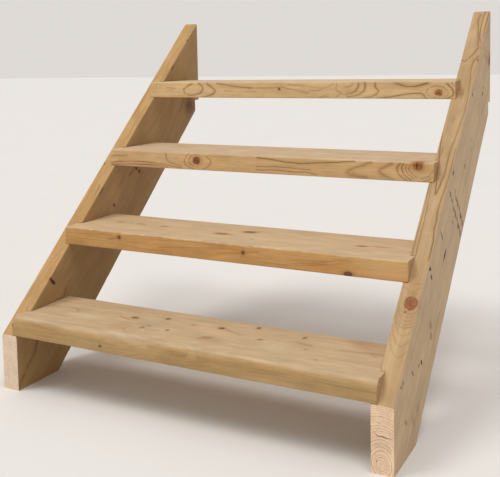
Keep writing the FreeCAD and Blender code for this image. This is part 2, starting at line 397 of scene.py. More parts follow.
def drawLines(tree, grain, normal, broken, before, said):
    # grain lines that are laid on one face; paths are lists of (a, b) in mm along the two directions given
    # on the left board's inner face, one set of these lines is the painted shade inside a crack
    first, second = Vector(said["a"]), Vector(said["b"])
    flat = [abs(first[i]) + abs(second[i]) for i in range(3)]
    place = vectors(tree, "MULTIPLY", grain, flat)
    away = sums(tree, "ADD", sums(tree, "MULTIPLY", before, 1e-7), 1.0)
    for path in said["paths"]:
        ends = [(first * a + second * b) * mm for a, b in path]
        for start, stop in zip(ends, ends[1:]):
            made = newNode(tree, "ShaderNodeGroup", node_tree=grainRun)
            feed(tree, made.inputs["Point"], place)
            made.inputs["Start"].default_value = start
            made.inputs["Run"].default_value = stop - start
            made.inputs["Share"].default_value = (stop - start) / (stop - start).length_squared
            feed(tree, made.inputs["Before"], away)
            away = made.outputs[0]
    wide = said["wide"] * mm
    core = ease(tree, away, wide * 0.15, wide * 0.75, 1.0, 0.0)
    halo = ease(tree, away, 0.0, wide * said.get("halo", 2.6), said.get("shade", 0.35), 0.0)
    line = sums(tree, "MULTIPLY", sums(tree, "MAXIMUM", core, halo), said["strength"])
    line = sums(tree, "MULTIPLY", line, ease(tree, broken, 0.28, 0.6, 0.55, 1.0))
    return sums(tree, "MULTIPLY", line, ease(tree, dotted(tree, normal, said["way"]), 0.72, 0.93))


def makeTimber(name, own, knots=(), marks=(), bulges=(), lay=(0, 0, 0), origin=(0, 0, 0)):
    look = {**pine, **own}
    material = bpy.data.materials.new(name)
    material.use_nodes = True
    tree = material.node_tree
    tree.nodes.clear()
    output = newNode(tree, "ShaderNodeOutputMaterial")
    shader = newNode(tree, "ShaderNodeBsdfPrincipled")
    feed(tree, output.inputs["Surface"], shader.outputs[0])

    # grain coordinates: x along the fibres, y through the board, z across it
    coords = newNode(tree, "ShaderNodeTexCoord")
    laid = newNode(tree, "ShaderNodeMapping", vector_type="POINT")
    feed(tree, laid.inputs["Vector"], coords.outputs["Object"])
    laid.inputs["Rotation"].default_value = lay
    laid.inputs["Location"].default_value = origin
    grain = laid.outputs[0]
    facing = newNode(tree, "ShaderNodeMapping", vector_type="VECTOR")
    feed(tree, facing.inputs["Vector"], coords.outputs["Normal"])
    facing.inputs["Rotation"].default_value = lay
    split = newNode(tree, "ShaderNodeSeparateXYZ")
    feed(tree, split.inputs[0], facing.outputs[0])
    endGrain = ease(tree, sums(tree, "ABSOLUTE", split.outputs["X"]), 0.35, 0.62)

    # rings round the heart, which wander along the trunk and swing round the knots
    seeded = vectors(tree, "ADD", grain, (look["seed"], look["seed"] * 0.7, look["seed"] * 1.3))
    drift = cloud(tree, seeded, (3.4, 5.0, 5.0), detail=1.5, roughness=0.45)
    wander = vectors(tree, "SUBTRACT", drift.outputs["Color"], (0.5, 0.5, 0.5))
    far = look["wobble"] * mm * 2
    wander = vectors(tree, "MULTIPLY", wander, (0, far, far))
    trunk = newNode(tree, "ShaderNodeMapping", vector_type="POINT")
    feed(tree, trunk.inputs["Vector"], vectors(tree, "ADD", grain, wander))
    tiltY, tiltZ = (math.radians(value) for value in look["pithTurn"])
    trunk.inputs["Rotation"].default_value = (0, tiltZ, -tiltY)
    trunk.inputs["Location"].default_value = (0, -look["pith"][0] * mm, -look["pith"][1] * mm)
    radius = vectors(tree, "LENGTH", vectors(tree, "MULTIPLY", trunk.outputs[0], (0, 1, 1)))
    shiver = cloud(tree, seeded, (14, 120, 120), detail=2)
    radius = sums(tree, "ADD", radius, sums(tree, "MULTIPLY",
                                            sums(tree, "SUBTRACT", shiver.outputs[0], 0.5), 0.0011))
    uneven = newNode(tree, "ShaderNodeTexNoise", noise_dimensions="1D")
    feed(tree, uneven.inputs["W"], sums(tree, "MULTIPLY", radius, 0.32 / (look["ringWidth"] * mm)))
    uneven.inputs["Scale"].default_value = 1
    uneven.inputs["Detail"].default_value = 0
    unevenness = sums(tree, "MULTIPLY", sums(tree, "SUBTRACT", uneven.outputs[0], 0.5),
                      look["ringWidth"] * mm * 1.6)
    radius = sums(tree, "ADD", radius, unevenness)
    knotSpots = []
    for number, spot in enumerate([*knots, *bulges]):
        soft, ragged = (0.12, 0.45) if number < len(knots) else (0.5, 0.2)
        knotSpots.append(spotNode(tree, grain, spot, soft, ragged, radius))
        radius = sums(tree, "ADD", radius, knotSpots[-1]["Push"])
    turns = sums(tree, "ADD", sums(tree, "DIVIDE", radius, look["ringWidth"] * mm), look["phase"])
    within = sums(tree, "FRACT", turns)
    ringNumber = newNode(tree, "ShaderNodeTexWhiteNoise", noise_dimensions="1D")
    feed(tree, ringNumber.inputs["W"], sums(tree, "FLOOR", turns))
    dark = sums(tree, "SUBTRACT", ease(tree, within, 0.40, 0.93), ease(tree, within, 0.955, 1.0))
    dark = sums(tree, "ADD", sums(tree, "MULTIPLY", sums(tree, "POWER", dark, 2.0), 0.22),
                sums(tree, "MULTIPLY", sums(tree, "POWER", dark, 8.0), 0.9))
    dark = sums(tree, "MULTIPLY", dark, ease(tree, ringNumber.outputs["Value"], 0.0, 1.0, 0.35, 1.0))
    broken = cloud(tree, seeded, (11, 40, 40), detail=2)
    dark = sums(tree, "MULTIPLY", dark, ease(tree, broken.outputs[0], 0.25, 0.62, 0.45, 1.0))
    dark = sums(tree, "MULTIPLY", dark, look["lineStrength"], clamp=True)

    # colour
    warm = cloud(tree, seeded, (5, 22, 22), detail=3, roughness=0.6)
    warmth = sums(tree, "MULTIPLY", ease(tree, warm.outputs[0], 0.35, 0.68), look["patch"])
    side = tint(tree, warmth, look["early"], look["early2"])
    ringDark = sideDark = dark
    # each face may take its own tone; on the left board's inner face this colour is painted shade
    for way, faceColour, amount, left in look["faces"]:
        facingIt = ease(tree, dotted(tree, coords.outputs["Normal"], way), 0.35, 0.85)
        if faceColour:
            side = tint(tree, sums(tree, "MULTIPLY", facingIt, amount), side, faceColour)
        sideDark = sums(tree, "MULTIPLY", sideDark, ease(tree, facingIt, 0.0, 1.0, 1.0, left))
    jitter = cloud(tree, seeded, (30, 130, 130), detail=2)
    jitter = vectors(tree, "SUBTRACT", jitter.outputs["Color"], (0.5, 0.5, 0.5))
    shaken = vectors(tree, "ADD", grain, vectors(tree, "MULTIPLY", jitter, (0.006, 0.0028, 0.0028)))
    for said in look["lines"]:
        line = drawLines(tree, shaken, coords.outputs["Normal"], broken.outputs[0], sideDark, said)
        sideDark = sums(tree, "MAXIMUM", sideDark, line)
        if "colour" in said:
            side = tint(tree, line, side, said["colour"])
        dark = sums(tree, "MAXIMUM", dark, sums(tree, "MULTIPLY", line, 0.8))
    side = tint(tree, sideDark, side, look["late"])
    fibre = cloud(tree, seeded, (9, 620, 620), detail=3, roughness=0.65)
    strand = ease(tree, fibre.outputs[0], 0.30, 0.72, 0.93, 1.04)
    broad = cloud(tree, seeded, (7, 210, 210), detail=3, roughness=0.6)
    strand = sums(tree, "MULTIPLY", strand, ease(tree, broad.outputs[0], 0.3, 0.7, 0.93, 1.045))
    streak = cloud(tree, seeded, (8, 75, 75), detail=3, roughness=0.6)
    strand = sums(tree, "MULTIPLY", strand, ease(tree, streak.outputs[0], 0.3, 0.7, 0.95, 1.035))
    blotch = cloud(tree, seeded, (14, 30, 30), detail=4, roughness=0.65)
    strand = sums(tree, "MULTIPLY", strand, ease(tree, blotch.outputs[0], 0.3, 0.7, 0.91, 1.06))
    pore = cloud(tree, seeded, (900, 900, 900), detail=2)
    endDark = sums(tree, "MULTIPLY", ringDark, look["endContrast"], clamp=True)
    end = tint(tree, endDark, look["endEarly"], look["endLate"])
    end = tint(tree, ease(tree, pore.outputs[0], 0.45, 0.75, 0.0, 0.14), end, look["endLate"])
    colour = tint(tree, endGrain, side, end)
    grey = newNode(tree, "ShaderNodeCombineXYZ")
    for socket in grey.inputs:
        feed(tree, socket, strand)
    colour = tint(tree, 1.0, colour, grey.outputs[0], way="MULTIPLY")

    # knots, each with its own small rings, a dark heart and a bark line
    knotHeight = 0.0
    for spot, said in zip(knotSpots, knots):
        halo = ease(tree, spot["Radii"], 1.0, said.get("haloOut", 2.3), said.get("halo", 0.35), 0.0)
        colour = tint(tree, halo, colour, said.get("haloColour", look["knotHalo"]))
        flesh = said.get("colour", look["knot"])
        core = said.get("heart", look["knotHeart"])
        grainy = cloud(tree, grain, (60, 420, 420), detail=3, roughness=0.6)
        heart = tint(tree, ease(tree, grainy.outputs[0], 0.42, 0.66), flesh, [c * 0.5 for c in flesh])
        small = sums(tree, "FRACT", sums(tree, "MULTIPLY", spot["Radii"], 3.4))
        heart = tint(tree, ease(tree, small, 0.6, 1.0, 0.0, 0.35), heart, core)
        heart = tint(tree, ease(tree, spot["Radii"], 0.05, 0.42, 0.85, 0.0), heart, core)
        colour = tint(tree, sums(tree, "MULTIPLY", spot["Mask"], said.get("strength", 0.9)), colour, heart)
        rim = sums(tree, "MULTIPLY", spot["Rim"], said.get("rim", 0.55))
        colour = tint(tree, rim, colour, look["knotRim"])
        knotHeight = sums(tree, "ADD", knotHeight, sums(tree, "MULTIPLY", spot["Rim"], -0.6))
    # marks: stains and patches, and on the lowest tread one painted highlight
    for said in marks:
        spot = spotNode(tree, grain, said, 0.7, 0.5, colour)
        amount = sums(tree, "MULTIPLY", spot["Mask"], said.get("strength", 0.6))
        colour = tint(tree, amount, colour, said.get("colour", look["stain"]))
    feed(tree, shader.inputs["Base Color"], colour)

    # dull planed wood; the summer lines are a little glossier and stand a little proud
    dull = ease(tree, fibre.outputs[0], 0.2, 0.8, 0.50, 0.66)
    dull = sums(tree, "SUBTRACT", dull, sums(tree, "MULTIPLY", dark, 0.10))
    feed(tree, shader.inputs["Roughness"], sums(tree, "ADD", dull, sums(tree, "MULTIPLY", endGrain, 0.2),
                                                clamp=True))
    planer = newNode(tree, "ShaderNodeTexWave", wave_type="BANDS", bands_direction="X", wave_profile="SIN")
    feed(tree, planer.inputs["Vector"], grain)
    planer.inputs["Scale"].default_value = 60
    planer.inputs["Distortion"].default_value = 0.6
    height = sums(tree, "ADD", sums(tree, "MULTIPLY", ringDark, 0.7),
                  sums(tree, "MULTIPLY", fibre.outputs[0], 0.55))
    height = sums(tree, "ADD", height, sums(tree, "MULTIPLY", planer.outputs["Fac"], 0.10))
    if knotSpots:
        height = sums(tree, "ADD", height, knotHeight)
    relief = newNode(tree, "ShaderNodeBump")
    relief.inputs["Strength"].default_value = 0.45
    relief.inputs["Distance"].default_value = 0.0006
    feed(tree, relief.inputs["Height"], height)
    feed(tree, shader.inputs["Normal"], relief.outputs[0])
    shader.inputs["IOR"].default_value = 1.45
    shader.inputs["Specular IOR Level"].default_value = 0.28
    return material


def dress(thing, material):
    thing.data.materials.clear()
    thing.data.materials.append(material)


# screws: first, because the boards are drilled with the cutter made here

screw = {
    "head": 10.0 * mm,
    "shank": 5.0 * mm,
    "core": 3.7 * mm,          # under the thread
    "neck": 3.9 * mm,          # plain part below the head
    "length": 90.0 * mm,
    "point": 8.0 * mm,
    "neckEnd": 34.0 * mm,      # where the thread starts
    "pitch": 3.0 * mm,
    "slot": 1.2 * mm,
    "span": 5.0 * mm,
    "recess": 2.4 * mm,
    "rim": 0.45 * mm,          # straight edge of the head, above its cone
    "sunk": 2.0 * mm,          # how deep the head sits below the board's face
    "play": 0.1 * mm,
}


def turnedBar(name, rings, sides):
    # a bar along x from rings of (x, radius): one disc, extruded and resized ring by ring
    deselectAll()
    bpy.ops.mesh.primitive_circle_add(vertices=sides, radius=rings[0][1], fill_type="NGON",
                                      location=(rings[0][0], 0, 0), rotation=(0, math.pi / 2, 0))
    bar = bpy.context.object
    bar.name = bar.data.name = name
    settle(bar)
    bpy.ops.object.mode_set(mode="EDIT")
    bpy.ops.mesh.select_all(action="SELECT")
    for (x0, r0), (x1, r1) in zip(rings, rings[1:]):
        bpy.ops.mesh.extrude_region_move(TRANSFORM_OT_translate={"value": (x1 - x0, 0, 0)})
        bpy.ops.transform.resize(value=(1, r1 / r0, r1 / r0), center_override=(x1, 0, 0))
    bpy.ops.mesh.select_all(action="SELECT")
    bpy.ops.mesh.normals_make_consistent(inside=False)
    deselectAll()
    return bar


def makeScrew():
    s = screw
    headR, neckR, coreR = s["head"] / 2, s["neck"] / 2, s["core"] / 2
    under = headR - neckR  # 90 degree countersink
    rings = [(0, headR - 0.15 * mm), (0.12 * mm, headR), (s["rim"], headR), (s["rim"] + under, neckR),
             (s["neckEnd"], neckR), (s["neckEnd"] + 0.4 * mm, coreR),
             (s["length"] - s["point"], coreR), (s["length"] - 0.3 * mm, 0.25 * mm),
             (s["length"], 0.05 * mm)]
    bar = turnedBar("screw", rings, 24)
    # thread: a small triangle swept round and along
    deselectAll()
    threadStart = s["neckEnd"] + 1.0 * mm
    turns = int((s["length"] - s["point"] * 0.8 - threadStart) / s["pitch"])
    bpy.ops.mesh.primitive_circle_add(vertices=3, radius=0.62 * mm, fill_type="NOTHING",
                                      location=(threadStart, 0, coreR + 0.03 * mm))
    ridge = bpy.context.object
    ridge.rotation_euler = (math.pi / 2, 0, 0)
    settle(ridge)
    finishWith(ridge, "SCREW", axis="X", angle=math.tau, screw_offset=s["pitch"], iterations=turns,
               steps=14, render_steps=14, use_merge_vertices=False)
    choose(ridge, "EDGE", lambda a, b: False)
    bpy.ops.mesh.select_non_manifold()
    bpy.ops.mesh.edge_face_add()
    bpy.ops.mesh.select_all(action="SELECT")
    bpy.ops.mesh.normals_make_consistent(inside=False)
    deselectAll()
    finishWith(bar, "BOOLEAN", operation="UNION", solver="EXACT", object=ridge)
    bpy.data.objects.remove(ridge)
    # cross recess: two tapered blades
    blades = []
    for turn in (0, 1):
        half = (s["span"] / 2, s["slot"] / 2)
        blade = addBlock("blade", (-1 * mm, -half[turn], -half[1 - turn]),
                         (s["recess"], half[turn], half[1 - turn]))
        choose(blade, "FACE", lambda centre, normal: normal.x > 0.9)
        bpy.ops.transform.resize(value=(1, 0.45 if turn == 0 else 0.7, 0.7 if turn == 0 else 0.45),
                                 center_override=(s["recess"], 0, 0))
        deselectAll()
        blades.append(blade)
    for blade in blades:
        cutWith(bar, [blade])
    smooth(bar, 30)
    return bar


def makeHole():
    s = screw
    headR, shankR = s["head"] / 2 + s["play"], s["shank"] / 2 + s["play"]
    # x = 0 is the board's face; the cutter begins outside it
    deep = s["sunk"] + s["rim"] + s["play"]
    return turnedBar("hole", [(-3 * mm, headR), (deep, headR), (deep + headR - shankR, shankR),
                              (s["sunk"] + s["length"] + 0.5 * mm, shankR)], 24)


def copyTo(master, name, place, turn):
    pickUp(master)
    bpy.ops.object.duplicate(linked=False)
    made = bpy.context.object
    made.name = made.data.name = name
    made.rotation_euler = turn
    made.location = place
    settle(made)
    return made


def screwPlaces(number):
    low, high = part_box(f"tread_{number}")
    middle = (low.z + high.z) / 2
    return [Vector((0, low.y + back, middle)) for back in flight["screwsFromFront"]]


masterScrew = makeScrew()
masterHole = makeHole()


def screwTurn(side, number, index):
    # each one stopped at its own angle when it was driven
    spin = random.Random(number * 10 + index + (50 if side > 0 else 0)).uniform(0, math.pi / 2)
    return (spin, 0, math.pi if side > 0 else 0)


steel = bpy.data.materials.new("screwSteel")
steel.use_nodes = True
tree = steel.node_tree
metal = tree.nodes["Principled BSDF"]
metal.inputs["Metallic"].default_value = 1
coords = newNode(tree, "ShaderNodeTexCoord")
turned = cloud(tree, coords.outputs["Object"], (300, 2400, 2400), detail=3, roughness=0.6)
zinc = tint(tree, ease(tree, turned.outputs[0], 0.3, 0.7), (0.62, 0.56, 0.42), (0.42, 0.36, 0.25))
rust = cloud(tree, coords.outputs["Object"], (700, 700, 700), detail=3)
zinc = tint(tree, ease(tree, rust.outputs[0], 0.58, 0.72, 0.0, 0.5), zinc, (0.12, 0.07, 0.04))
feed(tree, metal.inputs["Base Color"], zinc)
feed(tree, metal.inputs["Roughness"], ease(tree, turned.outputs[0], 0.2, 0.8, 0.28, 0.5))
scratch = newNode(tree, "ShaderNodeBump")
scratch.inputs["Strength"].default_value = 0.2
scratch.inputs["Distance"].default_value = 0.0001
feed(tree, scratch.inputs["Height"], turned.outputs[0])
feed(tree, metal.inputs["Normal"], scratch.outputs[0])

for number in range(1, flight["treads"] + 1):
    for side, word in ((-1, "left"), (1, "right")):
        pair = []
        for index, place in enumerate(screwPlaces(number)):
            face = side * (cadHigh[0] - screw["sunk"])
            there = Vector((face, place.y, place.z))
            pair.append(copyTo(masterScrew, "screw", there, screwTurn(side, number, index)))
        screws = joinUp(pair)
        screws.name = screws.data.name = f"screwPair_{number}_{word}"
        dress(screws, steel)
        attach(screws, "root")
        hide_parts(f"screws_{number}_{word}")
bpy.data.objects.remove(masterScrew)
print("screws driven")


def holeCutters(numbers, sides):
    made = []
    for number in numbers:
        for side in sides:
            for place in screwPlaces(number):
                there = Vector((side * cadHigh[0], place.y, place.z))
                made.append(copyTo(masterHole, "hole", there, (0, 0, math.pi if side > 0 else 0)))
    return made


# treads

tread = {
    "arris": 3.0 * mm,
    "nose": 4.0 * mm,
    "endArris": 0.8 * mm,
    "sliceEvery": 6.0 * mm,
    "wearDepth": (0.9 * mm, 1.9 * mm, 1.2 * mm, 0.9 * mm),  # lowest board first
    "waneNose": 16.0 * mm,     # round that the log's own edge is made from
    "waneRows": 8,
    "waneAngles": (10, 86),    # how far round it the outline goes, in degrees
    # natural outside edge of the log on the lowest tread: x, height of the flat front left under it,
    # depth on top (mm)
    "wane": ((-450, 15, 17), (-441, 16, 17), (-364, 23, 15), (-274, 28, 14), (-217, 26, 15), (-190, 22, 17),
             (-162, 18, 20), (-135, 13, 24), (-104, 4, 30), (-80, 6, 27), (-56, 17, 20), (-4, 33, 12),
             (21, 31, 12), (45, 17, 18), (81, 30, 13), (140, 30, 12), (186, 35, 11), (231, 32, 12),
             (295, 33, 12), (337, 31, 13), (378, 28, 14), (447, 26, 15), (450, 26, 15)),
}


def between(table, x, column):
    for first, second in zip(table, table[1:]):
        if x <= second[0]:
            share = (x - first[0]) / max(second[0] - first[0], 1e-9)
            share = share * share * (3 - 2 * share)
            return first[column] + (second[column] - first[column]) * share
    return table[-1][column]


def wearArrises(thing, depth, seed, onArris):
    # small dents and soft places along the long edges, always inwards
    thing.data.update()
    moves = {}
    for vertex in thing.data.vertices:
        inward = onArris(vertex.co)
        if inward is None:
            continue
        where = vertex.co * 55 + Vector((seed, seed, seed))
        amount = max(0, noise.noise(where)) * 0.8 + max(0, noise.noise(where * 0.31)) * 0.7
        moves[vertex.index] = Vector(inward) * depth * amount
    pushVertices(thing, moves)


def makeTread(number):
    low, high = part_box(f"tread_{number}")
    board = addBlock(f"stepBoard_{number}", low, high)
    wane = number == 1
    nose = tread["waneNose"] if wane else tread["nose"]
    isNose = lambda a, b: all(near(p.y, low.y) and near(p.z, high.z) for p in (a, b))
    roundEdges(board, isNose, nose, tread["waneRows"] if wane else 5)
    others = [(low.y, low.z), (high.y, low.z), (high.y, high.z)]
    for y, z in others:
        roundEdges(board, lambda a, b: all(near(p.y, y) and near(p.z, z) for p in (a, b)), tread["arris"],
                   4)
    for x in (low.x, high.x):
        roundEdges(board, lambda a, b: near(a.x, x) and near(b.x, x), tread["endArris"], 2)
    count = int((high.x - low.x) / tread["sliceEvery"])
    crossCut(board, [(low.x + (high.x - low.x) * i / count, 0, 0) for i in range(1, count)], (1, 0, 0))
    if wane:
        shapeWane(board, low, high, nose)

    def arrisOf(p):
        y = -1 if p.y < low.y + 6 * mm else (1 if p.y > high.y - 4 * mm else 0)
        z = -1 if p.z < low.z + 4 * mm else (1 if p.z > high.z - 6 * mm else 0)
        if not y or not z or wane and y < 0 and z > 0:
            return None
        flatY, flatZ = near(p.y, low.y) or near(p.y, high.y), near(p.z, low.z) or near(p.z, high.z)
        # points on a flat face only slide along it, so that the face stays flat
        return (0, 0 if flatY else -y * 0.7, 0 if flatZ else -z * 0.7)

    wearArrises(board, tread["wearDepth"][number - 1], number * 7.3, arrisOf)
    return board


def shapeWane(board, low, high, nose):
    # every point of the big round is moved on to the log's own outline at that place along the board
    moves = {}
    for vertex in board.data.vertices:
        p = vertex.co
        if p.y > low.y + nose + 2e-5 or p.z < high.z - nose - 2e-5:
            continue
        y, z = p.y - low.y, p.z - (high.z - nose)
        share = math.atan2(z, nose - y) / (math.pi / 2)  # 0 at the front face, 1 on top
        x = p.x / mm
        flat = between(tread["wane"], x, 1) * mm
        deep = between(tread["wane"], x, 2) * mm
        ripple = 1 + 0.10 * noise.noise(Vector((x * 0.02, share * 3, 5)))
        tall = (high.z - low.z - flat)
        first, last = tread["waneAngles"]
        angle = math.radians(first + (last - first) * share)
        start, stop = math.radians(first), math.radians(last)
        along = (math.sin(angle) - math.sin(start)) / (math.sin(stop) - math.sin(start))
        back = (math.cos(start) - math.cos(angle)) / (math.cos(start) - math.cos(stop))
        newZ = low.z + flat + tall * along
        newY = low.y + deep * ripple * back
        moves[vertex.index] = Vector((0, newY - p.y, newZ - p.z))
    pushVertices(board, moves)


def spot(at, size, **more):
    # a knot, a mark or a bulge of the grain: its middle and its three half widths, in mm along the
    # grain's axes
    return {"at": at, "size": size, **more}


up, front = (0, 0, 1), (0, -1, 0)
boardFront = {"way": front, "a": (1, 0, 0), "b": (0, 0, 1)}    # paths there: along, height
boardTop = {"way": up, "a": (1, 0, 0), "b": (0, 1, 0)}         # along, back from the front
brown, rust, char = (0.23, 0.125, 0.055), (0.42, 0.15, 0.05), (0.085, 0.045, 0.02)

